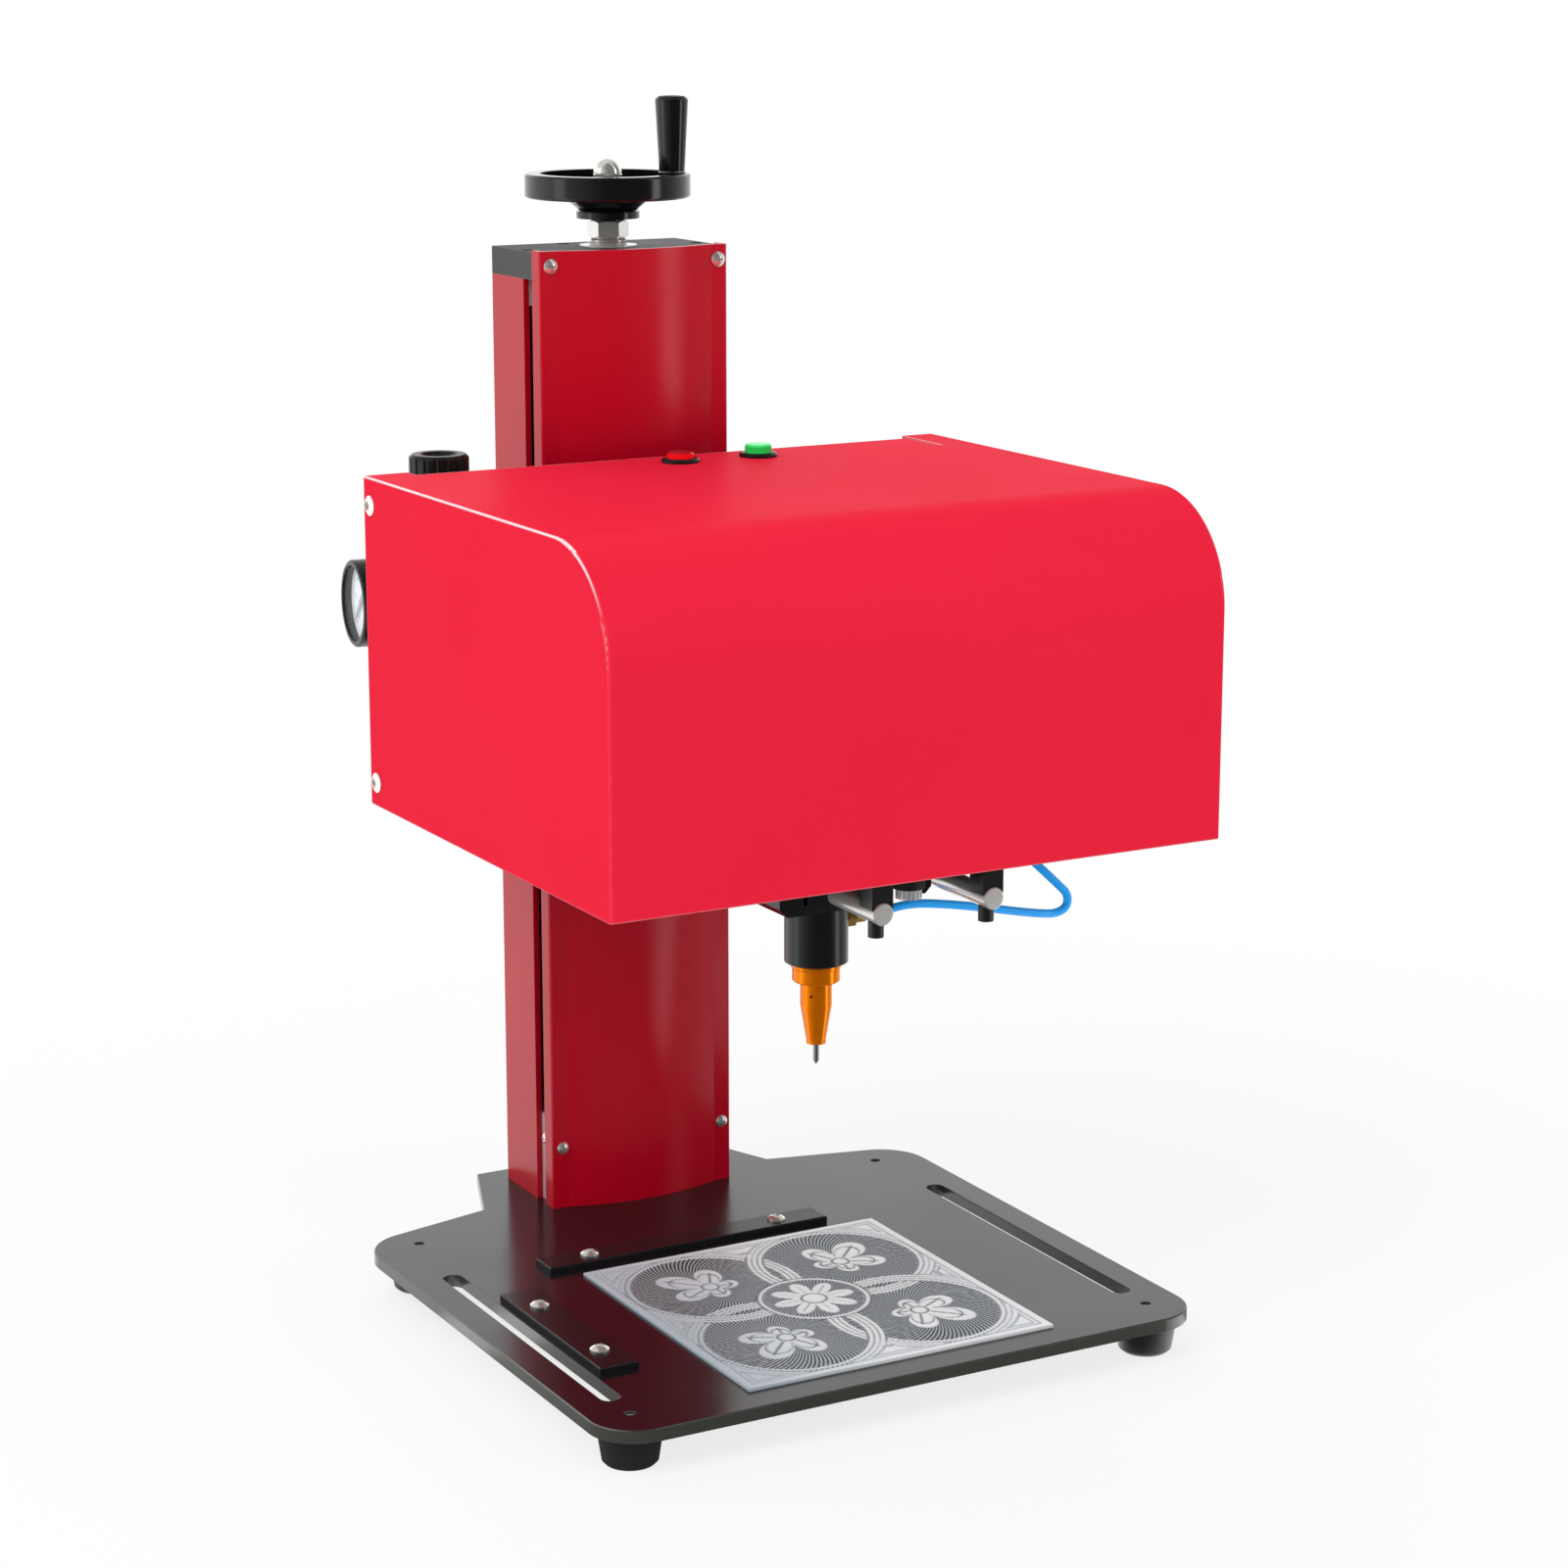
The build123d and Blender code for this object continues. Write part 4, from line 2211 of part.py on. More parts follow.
with BuildPart() as pen_fittings:
    bar_along_x((barrel_right_x - brass_thread_length, brass_neck_x), pen_y, brass_z, brass_thread_radius)
    with BuildSketch(from_right(barrel_right_x)):
        with Locations((pen_y, brass_z)):
            RegularPolygon(brass_hex_radius, 6)
    extrude(amount=brass_hex_length)
    bar_along_x((brass_neck_x, brass_collet_x), pen_y, brass_z, brass_neck_radius)
    bar_along_x((brass_collet_x, brass_end_x), pen_y, brass_z, brass_collet_radius)
    air_way = (barrel_right_x - brass_thread_length - overrun, brass_end_x)
    bar_along_x(air_way, pen_y, brass_z, air_way_radius, Mode.SUBTRACT)
    tube_hole = (brass_end_x - tube_seat, brass_end_x + overrun)
    bar_along_x(tube_hole, pen_y, brass_z, tube_radius + tube_gap, Mode.SUBTRACT)
    bar_along_x((anchor_right_x, anchor_end_x), anchor_y, anchor_z, anchor_radius)
    tube_hole = (anchor_end_x - tube_seat, anchor_end_x + overrun)
    bar_along_x(tube_hole, anchor_y, anchor_z, tube_radius + tube_gap, Mode.SUBTRACT)
pen_fittings.part.label = "pen_fittings"
export_step(pen_fittings.part, "parts/pen_fittings.step")

# Air tube: out of the brass fitting, under the right rod, round a tight bend and back
# up to the socket on the arm, laid as straight runs joined by arcs

tube_bend_share = 0.45
tube_corners = [
    (15.5, -207.0, 193.2),
    (31.0, -207.0, 195.3),
    (52.0, -207.0, 192.0),
    (74.0, -207.0, 187.2),
    (90.0, -207.0, 183.5),
    (100.5, -207.0, 181.4),
    (109.0, -207.0, 180.2),
    (115.2, -207.0, 182.4),
    (115.8, -206.9, 188.6),
    (110.4, -206.6, 193.8),
    (102.6, -204.9, 201.6),
    (94.0, -201.4, 210.2),
    (83.5, -198.0, 217.6),
    (72.5, -197.0, 219.0),
]
tube_start = (brass_end_x - tube_seat + running_gap, pen_y, brass_z)
tube_finish = (anchor_end_x - tube_seat + running_gap, anchor_y, anchor_z)


def bend_radii(points, share):
    """Radius at each corner of a route: a share of the shorter run, over the tangent of half the turn."""
    radii = []
    for before, corner, after in zip(points, points[1:], points[2:]):
        arriving = Vector(*corner) - Vector(*before)
        leaving = Vector(*after) - Vector(*corner)
        shorter = min(arriving.length, leaving.length)
        radii.append(share * shorter / tan(radians(arriving.get_angle(leaving)) / 2))
    return radii


tube_points = [tube_start, *tube_corners, tube_finish]
tube_radii = bend_radii(tube_points, tube_bend_share)

with BuildPart() as air_tube:
    with BuildLine() as tube_path:
        FilletPolyline(*[at(*point) for point in tube_points], radius=tube_radii)
    with BuildSketch(Plane(origin=at(*tube_start), z_dir=(1, 0, 0))):
        Circle(tube_radius)
    sweep(path=tube_path.wires()[0])
air_tube.part.label = "air_tube"
export_step(air_tube.part, "parts/air_tube.step")

tube_length = tube_path.wires()[0].length
section_volume = pi * tube_radius**2 * tube_length
print(f"Length of the air tube: {tube_length:.1f} mm, tightest bend {min(tube_radii):.1f} mm")
print(f"Its volume over section times length: {air_tube.part.volume / section_volume:.4f}")
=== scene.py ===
"""Looks of a bench-top nameplate marking machine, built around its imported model.

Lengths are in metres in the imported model's frame. Sizes and places that belong to the
machine are written in millimetres, as on a drawing: x from the middle plane, y back from
the column's front corner line, z up from the deck.
"""

import json
import logging
import math
from dataclasses import dataclass
from enum import Enum
from typing import Any, Optional, Sequence, Union

import bpy
import numpy as np
from mathutils import Matrix, Vector


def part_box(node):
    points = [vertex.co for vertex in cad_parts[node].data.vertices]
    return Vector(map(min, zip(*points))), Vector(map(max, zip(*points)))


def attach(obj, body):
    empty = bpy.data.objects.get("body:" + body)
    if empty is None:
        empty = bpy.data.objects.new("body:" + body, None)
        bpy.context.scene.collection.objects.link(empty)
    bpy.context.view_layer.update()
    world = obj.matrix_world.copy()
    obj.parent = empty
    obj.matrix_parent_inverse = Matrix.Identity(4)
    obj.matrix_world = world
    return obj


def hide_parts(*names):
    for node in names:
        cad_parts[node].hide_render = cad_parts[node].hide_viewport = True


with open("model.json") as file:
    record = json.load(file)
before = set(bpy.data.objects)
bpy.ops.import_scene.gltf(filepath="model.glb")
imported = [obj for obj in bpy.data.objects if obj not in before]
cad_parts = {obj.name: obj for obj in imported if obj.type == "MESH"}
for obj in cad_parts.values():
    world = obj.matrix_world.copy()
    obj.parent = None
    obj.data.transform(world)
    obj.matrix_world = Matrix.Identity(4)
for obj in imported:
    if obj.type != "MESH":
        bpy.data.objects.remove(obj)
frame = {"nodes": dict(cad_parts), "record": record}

MM = 0.001
FULL_TURN = 2.0 * math.pi
DECK_FRONT = -271.6
LAMP_TARGET = (0.0, 0.0, 0.25)
WHITE = (1.0, 1.0, 1.0, 1.0)
log = logging.getLogger("marking_machine")

Color = tuple[float, float, float]
Point = tuple[float, float, float]
Span = tuple[float, float]
Socket = bpy.types.NodeSocket


def machine(x: float, y: float, z: float) -> Vector:
    """Turn a place on the machine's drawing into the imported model's frame.

    Args:
        x: Millimetres right of the middle plane.
        y: Millimetres behind the column's front corner line.
        z: Millimetres above the deck.

    Returns:
        The same place in metres.
    """
    low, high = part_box("base_plate")
    return Vector((x * MM, low.y + (y - DECK_FRONT) * MM, high.z + z * MM))


class Grain(Enum):
    """Fine relief of a finish: grains per metre, depth in millimetres, and stretch."""

    ROLLED = (1500.0, 0.0012, (1.0, 1.0, 1.0))
    PEEL = (420.0, 0.005, (1.0, 1.0, 1.0))
    POLISHED = (900.0, 0.002, (1.0, 1.0, 1.0))
    BRUSHED = (900.0, 0.006, (0.08, 1.0, 1.0))
    TURNED = (900.0, 0.004, (0.3, 0.3, 3.0))
    DRAWN = (900.0, 0.03, (0.05, 0.05, 1.0))
    MOULDED = (900.0, 0.012, (1.0, 1.0, 1.0))


class Sheet:
    """Places nodes in a node tree and joins them."""

    MIX_INPUTS = (0, 6, 7)
    MIX_RESULT = 2

    def __init__(self, tree: bpy.types.NodeTree) -> None:
        """Keep the tree and empty it."""
        self.tree = tree
        tree.nodes.clear()

    def add(self, kind: str, inputs: Optional[dict[Any, Any]] = None, **settings: Any) -> bpy.types.Node:
        """Add one node.

        Args:
            kind: The node type's name after ShaderNode, or a whole type name.
            inputs: Values or sockets for the node's inputs, by name or number.
            settings: The node's own settings.

        Returns:
            The new node.
        """
        name = kind if kind.startswith("Node") else "ShaderNode" + kind
        node = self.tree.nodes.new(name)
        for key, value in settings.items():
            setattr(node, key, value)
        for key, value in (inputs or {}).items():
            if isinstance(value, Socket):
                self.tree.links.new(value, node.inputs[key])
            else:
                node.inputs[key].default_value = value
        return node

    def math(self, operation: str, *values: Any) -> Socket:
        """Add a Math node on values or sockets and return its result."""
        return self.add("Math", dict(enumerate(values)), operation=operation).outputs[0]

    def vector(self, operation: str, *values: Any) -> Any:
        """Add a Vector Math node and return its outputs, Vector and Value."""
        return self.add("VectorMath", dict(enumerate(values)), operation=operation).outputs

    def split(self, vector: Socket) -> Any:
        """Add a Separate XYZ node and return its outputs, X, Y and Z."""
        return self.add("SeparateXYZ", {0: vector}).outputs

    def ramp(self, value: Any, low: float, high: float, start: float = 0.0, end: float = 1.0) -> Socket:
        """Add a clamped Map Range node from low..high to start..end and return its result."""
        return self.add("MapRange", {0: value, 1: low, 2: high, 3: start, 4: end}, clamp=True).outputs[0]

    def mix(self, share: Any, first: Any, second: Any) -> Socket:
        """Add a Mix node from the first colour to the second and return its colour."""
        inputs = dict(zip(self.MIX_INPUTS, (share, first, second)))
        return self.add("Mix", inputs, data_type="RGBA").outputs[self.MIX_RESULT]


def new_material(name: str) -> tuple[bpy.types.Material, Sheet]:
    """Make a material whose node tree is empty.

    Args:
        name: The material's name.

    Returns:
        The material, and the sheet that fills its tree.
    """
    material = bpy.data.materials.new(name)
    material.use_nodes = True
    return material, Sheet(material.node_tree)


def opaque(color: Color) -> tuple[float, float, float, float]:
    """Give a colour full alpha."""
    return (*color, 1.0)


class Effect:
    """A shader node group with named inputs and outputs, shared by several finishes."""

    def __init__(self, name: str, inputs: dict[str, tuple[str, Any]], outputs: dict[str, str]) -> None:
        """Make the group and its sockets.

        Args:
            name: The group's name.
            inputs: Socket kind and default value of each input.
            outputs: Socket kind of each output.
        """
        self.group = bpy.data.node_groups.new(name, "ShaderNodeTree")
        for label, (kind, value) in inputs.items():
            socket = self.group.interface.new_socket(label, in_out="INPUT", socket_type="NodeSocket" + kind)
            socket.default_value = value
        for label, kind in outputs.items():
            self.group.interface.new_socket(label, in_out="OUTPUT", socket_type="NodeSocket" + kind)
        self.sheet = Sheet(self.group)
        self.given = self.sheet.add("NodeGroupInput").outputs

    def give(self, **results: Socket) -> bpy.types.NodeTree:
        """Join the results to the group's outputs.

        Args:
            results: A socket for each output, by the output's name.

        Returns:
            The finished group.
        """
        self.sheet.add("NodeGroupOutput", results)
        return self.group


class Effects:
    """Builds the shared node groups once.

    A pair is where a mask begins and is full: WORN by the cosine between the rounded and
    the plain normal, LIT and LEVEL by how far each of them points up, BENT by
    that times the sideways lean, and SHADE and PATCH by noise. The first three make a painted
    highlight on edges, less where an edge faces down, and on bends that slant up and sideways.
    """

    WORN = (0.998, 0.92)
    LIT = (-0.1, 0.65)
    LEAST_LIT = 0.3
    LEVEL = (0.5, 0.9)
    BENT = (0.20, 0.42)
    SHADE = (0.3, 0.7)
    PATCH = (0.32, 0.68)
    GRAIN_DETAIL = 3.0
    PATCH_DETAIL = 4.0
    BEVEL_SAMPLES = 6

    def __init__(self) -> None:
        """Build each group."""
        self.edge = self.build_edge()
        self.grain = self.build_grain()
        self.cloud = self.build_cloud()

    def build_edge(self) -> bpy.types.NodeTree:
        """Rounded edge: where the bevelled normal leaves the plain one is an edge, which gets a painted
        highlight.

        Returns:
            The group, with the bevelled normal, a painted highlight on edges and slanting bends,
            and a mask of level tops.
        """
        effect = Effect(
            "rounded_edge",
            {"Radius": ("Float", 0.3 * MM)},
            {"Normal": "Vector", "Mask": "Float", "Top": "Float"},
        )
        sheet = effect.sheet
        bevel = sheet.add("Bevel", {"Radius": effect.given["Radius"]}, samples=self.BEVEL_SAMPLES).outputs[0]
        plain = sheet.add("NewGeometry").outputs["Normal"]
        edge_zone = sheet.ramp(sheet.vector("DOT_PRODUCT", bevel, plain)["Value"], *self.WORN)
        # painted highlight: edges that face down get less of it, as if the light came from above
        painted_lit = sheet.ramp(sheet.split(bevel)["Z"], *self.LIT, self.LEAST_LIT, 1.0)
        facing = sheet.split(plain)
        top = sheet.ramp(facing["Z"], *self.LEVEL)
        slant = sheet.math("MULTIPLY", sheet.math("ABSOLUTE", facing["X"]), facing["Z"])
        # painted highlight on bends that slant up and sideways, such as the head's top side edges
        painted_bend = sheet.ramp(slant, *self.BENT)
        mask = sheet.math("MAXIMUM", sheet.math("MULTIPLY", edge_zone, painted_lit), painted_bend)
        return effect.give(Normal=bevel, Mask=mask, Top=top)

    def build_grain(self) -> bpy.types.NodeTree:
        """Grain: noise on Object coordinates that are stretched by a vector.

        Returns:
            The group, with the noise as a height and as a shade of more contrast.
        """
        effect = Effect(
            "stretched_grain",
            {"Stretch": ("Vector", (1.0, 1.0, 1.0)), "Scale": ("Float", 900.0)},
            {"Height": "Float", "Shade": "Float"},
        )
        sheet = effect.sheet
        place = sheet.add("TexCoord").outputs["Object"]
        stretched = sheet.vector("MULTIPLY", place, effect.given["Stretch"])["Vector"]
        inputs = {"Vector": stretched, "Scale": effect.given["Scale"], "Detail": self.GRAIN_DETAIL}
        noise = sheet.add("TexNoise", inputs).outputs[0]
        return effect.give(Height=noise, Shade=sheet.ramp(noise, *self.SHADE))

    def build_cloud(self) -> bpy.types.NodeTree:
        """Cloudiness: broad patches of noise that shift a colour and a roughness a little.

        Returns:
            The group, with the colour and the roughness.
        """
        effect = Effect(
            "broad_patches",
            {
                "Color": ("Color", (0.5, 0.5, 0.5, 1.0)),
                "Patch Color": ("Color", (0.5, 0.5, 0.5, 1.0)),
                "Roughness": ("Float", 0.4),
                "Spread": ("Float", 0.1),
                "Scale": ("Float", 14.0),
            },
            {"Color": "Color", "Roughness": "Float"},
        )
        sheet = effect.sheet
        place = sheet.add("TexCoord").outputs["Object"]
        inputs = {"Vector": place, "Scale": effect.given["Scale"], "Detail": self.PATCH_DETAIL}
        share = sheet.ramp(sheet.add("TexNoise", inputs).outputs[0], *self.PATCH)
        color = sheet.mix(share, effect.given["Color"], effect.given["Patch Color"])
        rise = sheet.math("MULTIPLY", sheet.math("SUBTRACT", share, 0.5), effect.given["Spread"])
        return effect.give(Color=color, Roughness=sheet.math("ADD", effect.given["Roughness"], rise))


@dataclass(frozen=True)
class Finish:
    """One surface finish of the machine. Lengths are in millimetres."""

    name: str
    color: Color
    patch: Color
    metallic: float = 0.0
    roughness: float = 0.4
    spread: float = 0.08
    specular: float = 0.5
    grain: Grain = Grain.MOULDED
    edge_radius: float = 0.3
    # colour and share of a painted highlight along edges
    edge_color: Optional[Color] = None
    edge_share: float = 0.0
    # colour of level tops: painted light and shade by which way a face looks
    top_color: Optional[Color] = None
    # strength of painted emission in the base colour, on parts that are no lamps
    glow: float = 0.0

    def material(self, effects: Effects) -> bpy.types.Material:
        """Build the finish's material, or return it if it is there already.

        Args:
            effects: The shared node groups.

        Returns:
            The material.
        """
        found = bpy.data.materials.get("finish_" + self.name)
        if found:
            return found
        material, sheet = new_material("finish_" + self.name)
        scale, depth, stretch = self.grain.value
        cloud = sheet.add("Group", {
            "Color": opaque(self.color),
            "Patch Color": opaque(self.patch),
            "Roughness": self.roughness,
            "Spread": self.spread,
        }, node_tree=effects.cloud).outputs
        grain = sheet.add("Group", {"Stretch": stretch, "Scale": scale}, node_tree=effects.grain).outputs
        edge = sheet.add("Group", {"Radius": self.edge_radius * MM}, node_tree=effects.edge).outputs
        color = cloud["Color"]
        # painted light and shade: level tops take their own colour, the sides the base colour
        if self.top_color is not None:
            color = sheet.mix(edge["Top"], color, opaque(self.top_color))
        # painted highlight along the edges
        if self.edge_color is not None:
            share = sheet.math("MULTIPLY", edge["Mask"], self.edge_share)
            color = sheet.mix(share, color, opaque(self.edge_color))
        bump = sheet.add("Bump", {
            "Height": grain["Height"],
            "Normal": edge["Normal"],
            "Distance": depth * MM,
            "Strength": 1.0,
        })
        shader = sheet.add("BsdfPrincipled", {
            "Base Color": color,
            "Roughness": cloud["Roughness"],
            "Metallic": self.metallic,
            "Normal": bump.outputs[0],
            "Specular IOR Level": self.specular,
        })
        # painted emission: the part shines in its own colour, though it is no lamp
        if self.glow > 0:
            shader.inputs["Emission Color"].default_value = opaque(self.color)
            shader.inputs["Emission Strength"].default_value = self.glow
        sheet.add("OutputMaterial", {"Surface": shader.outputs[0]})
        return material


FINISHES = (
    # deck_black: painted light, sides lighter than its near-black top, and a painted highlight on its edges
    Finish("deck_black", (0.040, 0.041, 0.036), (0.048, 0.049, 0.043), roughness=0.20, specular=0.53,
           grain=Grain.ROLLED, edge_color=(0.13, 0.13, 0.12), edge_share=0.8,
           top_color=(0.009, 0.008, 0.010)),
    Finish("foot_rubber", (0.012, 0.012, 0.012), (0.018, 0.018, 0.017), roughness=0.5, edge_radius=0.5),
    Finish("steel", (0.86, 0.85, 0.82), (0.76, 0.75, 0.72), metallic=0.62, roughness=0.24,
           grain=Grain.POLISHED),
    Finish("tool_steel", (0.40, 0.39, 0.37), (0.32, 0.31, 0.30), metallic=0.9, roughness=0.26,
           grain=Grain.TURNED),
    Finish("chrome", (0.90, 0.88, 0.83), (0.80, 0.78, 0.74), metallic=0.8, roughness=0.16,
           grain=Grain.POLISHED, edge_radius=0.15),
    # column_red: painted highlight on its edges
    Finish("column_red", (0.50, 0.0016, 0.015), (0.46, 0.0014, 0.013), roughness=0.22, spread=0.05,
           specular=0.24, grain=Grain.PEEL, edge_color=(0.80, 0.10, 0.15), edge_share=0.7, edge_radius=0.5),
    # head_red: pale pink painted highlight on its edges and slanting top bends
    Finish("head_red", (0.80, 0.019, 0.048), (0.78, 0.018, 0.046), roughness=0.42, spread=0.04,
           specular=0.004, grain=Grain.PEEL, edge_color=(1.0, 0.74, 0.77), edge_share=0.9, edge_radius=1.0),
    # cap_grey: painted highlight on its edges, and its top darker than its sides as painted shade
    Finish("cap_grey", (0.056, 0.056, 0.052), (0.050, 0.050, 0.046), roughness=0.5, specular=0.25,
           edge_color=(0.30, 0.30, 0.29), edge_share=0.6, top_color=(0.035, 0.035, 0.037)),
    # stop_black: painted highlight on its edges
    Finish("stop_black", (0.010, 0.009, 0.010), (0.014, 0.012, 0.013), roughness=0.24, specular=0.2,
           edge_color=(0.06, 0.05, 0.05), edge_share=0.6),
    Finish("machined_alloy", (0.82, 0.82, 0.82), (0.70, 0.70, 0.70), metallic=0.5, roughness=0.30,
           grain=Grain.BRUSHED),
    Finish("bronze", (0.55, 0.33, 0.14), (0.44, 0.26, 0.11), metallic=0.9, roughness=0.35),
    Finish("brass", (0.70, 0.46, 0.12), (0.58, 0.36, 0.08), metallic=0.8, roughness=0.26),
    Finish("wheel_black", (0.0035, 0.0035, 0.0035), (0.0050, 0.0050, 0.0050), roughness=0.12, spread=0.04,
           specular=0.45, grain=Grain.POLISHED, edge_radius=0.6),
    Finish("black_plastic", (0.005, 0.005, 0.005), (0.008, 0.008, 0.007), roughness=0.32, specular=0.3),
    # anodised_black: painted highlight on its edges
    Finish("anodised_black", (0.006, 0.006, 0.006), (0.009, 0.009, 0.009), roughness=0.27, specular=0.42,
           grain=Grain.ROLLED, edge_color=(0.06, 0.06, 0.06), edge_share=0.5),
    # anodised_orange: painted highlight on its edges
    Finish("anodised_orange", (1.0, 0.25, 0.0002), (0.94, 0.21, 0.0001), metallic=0.6, roughness=0.22,
           specular=0.15, grain=Grain.TURNED, edge_color=(1.0, 0.55, 0.10), edge_share=0.4),
    # lens_red: painted light, bright red sides and a near-black red top, and painted emission
    Finish("lens_red", (0.95, 0.008, 0.012), (0.85, 0.006, 0.010), roughness=0.12, specular=0.1, glow=0.10,
           edge_radius=0.2, top_color=(0.16, 0.0005, 0.006)),
    # cap_green: painted emission, and a lighter painted top
    Finish("cap_green", (0.010, 0.60, 0.09), (0.009, 0.55, 0.08), roughness=0.25, specular=0.3, glow=0.10,
           edge_radius=0.2, top_color=(0.09, 0.86, 0.25)),
    # dial_white: painted emission
    Finish("dial_white", (0.86, 0.88, 0.91), (0.80, 0.83, 0.87), roughness=0.5, specular=0.1, glow=0.16),
    Finish("pointer_grey", (0.40, 0.41, 0.43), (0.46, 0.47, 0.49), roughness=0.5, specular=0.1),
    # tube_blue: painted emission
    Finish("tube_blue", (0.012, 0.34, 0.90), (0.016, 0.40, 0.95), roughness=0.20, specular=0.4, glow=0.14,
           grain=Grain.POLISHED),
    Finish("belt_rubber", (0.010, 0.010, 0.010), (0.016, 0.016, 0.015), roughness=0.6),
    Finish("motor_black", (0.014, 0.014, 0.014), (0.022, 0.022, 0.022), roughness=0.4, grain=Grain.DRAWN),
    Finish("regulator_alloy", (0.016, 0.016, 0.017), (0.024, 0.024, 0.024), roughness=0.36),
    Finish("screw_black", (0.010, 0.010, 0.010), (0.016, 0.016, 0.016), metallic=0.2, roughness=0.35),
)


SPECIAL_FINISHES = {"marking_needle": "tool_steel", "lead_screw": "tool_steel"}


def new_object(name: str, data: bpy.types.ID) -> bpy.types.Object:
    """Put an object at the origin of the scene.

    Args:
        name: Its name.
        data: Its mesh, curve, light or camera.

    Returns:
        The new object.
    """
    piece = bpy.data.objects.new(name, data)
    bpy.context.scene.collection.objects.link(piece)
    return piece


def mesh_object(
    name: str,
    points: np.ndarray,
    faces: Sequence[Sequence[int]],
    smooth: Union[bool, np.ndarray] = False,
) -> bpy.types.Object:
    """Put points and faces into a new mesh object at the origin.

    Args:
        name: The piece's name.
        points: Rows of x, y and z in metres.
        faces: The point numbers of each face.
        smooth: Whether all faces, or each by itself, are smooth.

    Returns:
        The new object.
    """
    mesh = bpy.data.meshes.new(name)
    mesh.from_pydata(points.tolist(), [], faces)
    mesh.polygons.foreach_set("use_smooth", np.full(len(mesh.polygons), smooth, bool))
    mesh.update()
    return new_object(name, mesh)


def grid_faces(rows: int, columns: int, wrap_rows: bool = False, wrap_columns: bool = False) -> np.ndarray:
    """Quads of a grid of points that is numbered row by row.

    Args:
        rows: Points along the first parameter.
        columns: Points along the second parameter.
        wrap_rows: Whether the last row joins the first.
        wrap_columns: Whether the last column joins the first.

    Returns:
        Rows of four point numbers.
    """
    r = np.arange(rows if wrap_rows else rows - 1)
    c = np.arange(columns if wrap_columns else columns - 1)
    r, c = np.meshgrid(r, c, indexing="ij")
    after_r = (r + 1) % rows
    after_c = (c + 1) % columns
    corners = [r * columns + c, after_r * columns + c, after_r * columns + after_c, r * columns + after_c]
    return np.stack(corners, axis=-1).reshape(-1, 4)


def close_below(top: np.ndarray, rows: int, columns: int, base: Vector) -> tuple[np.ndarray, list[list[int]]]:
    """Close a height field to a solid: upright walls from its border, and a level fan.

    Args:
        top: Rows of x, y and z of the field, where x rises along a row and y by rows.
        rows: Points along y.
        columns: Points along x.
        base: Middle of the solid's underside.

    Returns:
        All points, and all faces, of which the field's own come first.
    """
    border = np.concatenate([
        np.arange(columns),
        np.arange(1, rows) * columns + columns - 1,
        (rows - 1) * columns + np.arange(columns - 2, -1, -1),
        np.arange(rows - 2, 0, -1) * columns,
    ])
    under = top[border].copy()
    under[:, 2] = base.z
    here = len(top) + np.arange(len(border))
    following = np.roll(here, -1)
    hub = np.full(len(border), len(top) + len(border))
    field = grid_faces(rows, columns)[:, ::-1]
    walls = np.stack([border, here, following, np.roll(border, -1)], axis=-1)
    fan = np.stack([following, here, hub], axis=-1)
    return np.concatenate([top, under, [base]]), field.tolist() + walls.tolist() + fan.tolist()


def smooth_step(value: np.ndarray, low: float, high: float) -> np.ndarray:
    """Cubic rise from 0 at low to 1 at high, level outside."""
    share = np.clip((value - low) / (high - low), 0.0, 1.0)
    return share * share * (3.0 - 2.0 * share)


class Dresser:
    """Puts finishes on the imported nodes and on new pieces."""

    def __init__(self) -> None:
        """Build the node groups, and list the finishes by name."""
        self.effects = Effects()
        self.finishes = {finish.name: finish for finish in FINISHES}

    def paint(self, piece: bpy.types.Object, finish: str) -> None:
        """Cover a piece with the finish of a name."""
        self.cover(piece, self.finishes[finish].material(self.effects))

    @staticmethod
    def cover(piece: bpy.types.Object, material: bpy.types.Material) -> None:
        """Replace every material of a piece by one material."""
        piece.data.materials.clear()
        piece.data.materials.append(material)

    def dress_nodes(self) -> None:
        """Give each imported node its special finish, or the finish that the record names."""
        for part in frame["record"]["subparts"]:
            node = part["node"]
            finish = SPECIAL_FINISHES.get(node, part["material_slot"])
            if finish in self.finishes:
                self.paint(frame["nodes"][node], finish)
            log.info("node %s has finish %s", node, finish)


def settle(piece: bpy.types.Object, body: str, replaced: Sequence[str] = ()) -> None:
    """Let a new piece ride on its body.

    Args:
        piece: The new piece.
        body: The body that carries it.
        replaced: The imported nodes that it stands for.
    """
    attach(piece, body)
    if replaced:
        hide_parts(*replaced)
    log.info("piece %s rides on %s", piece.name, body)


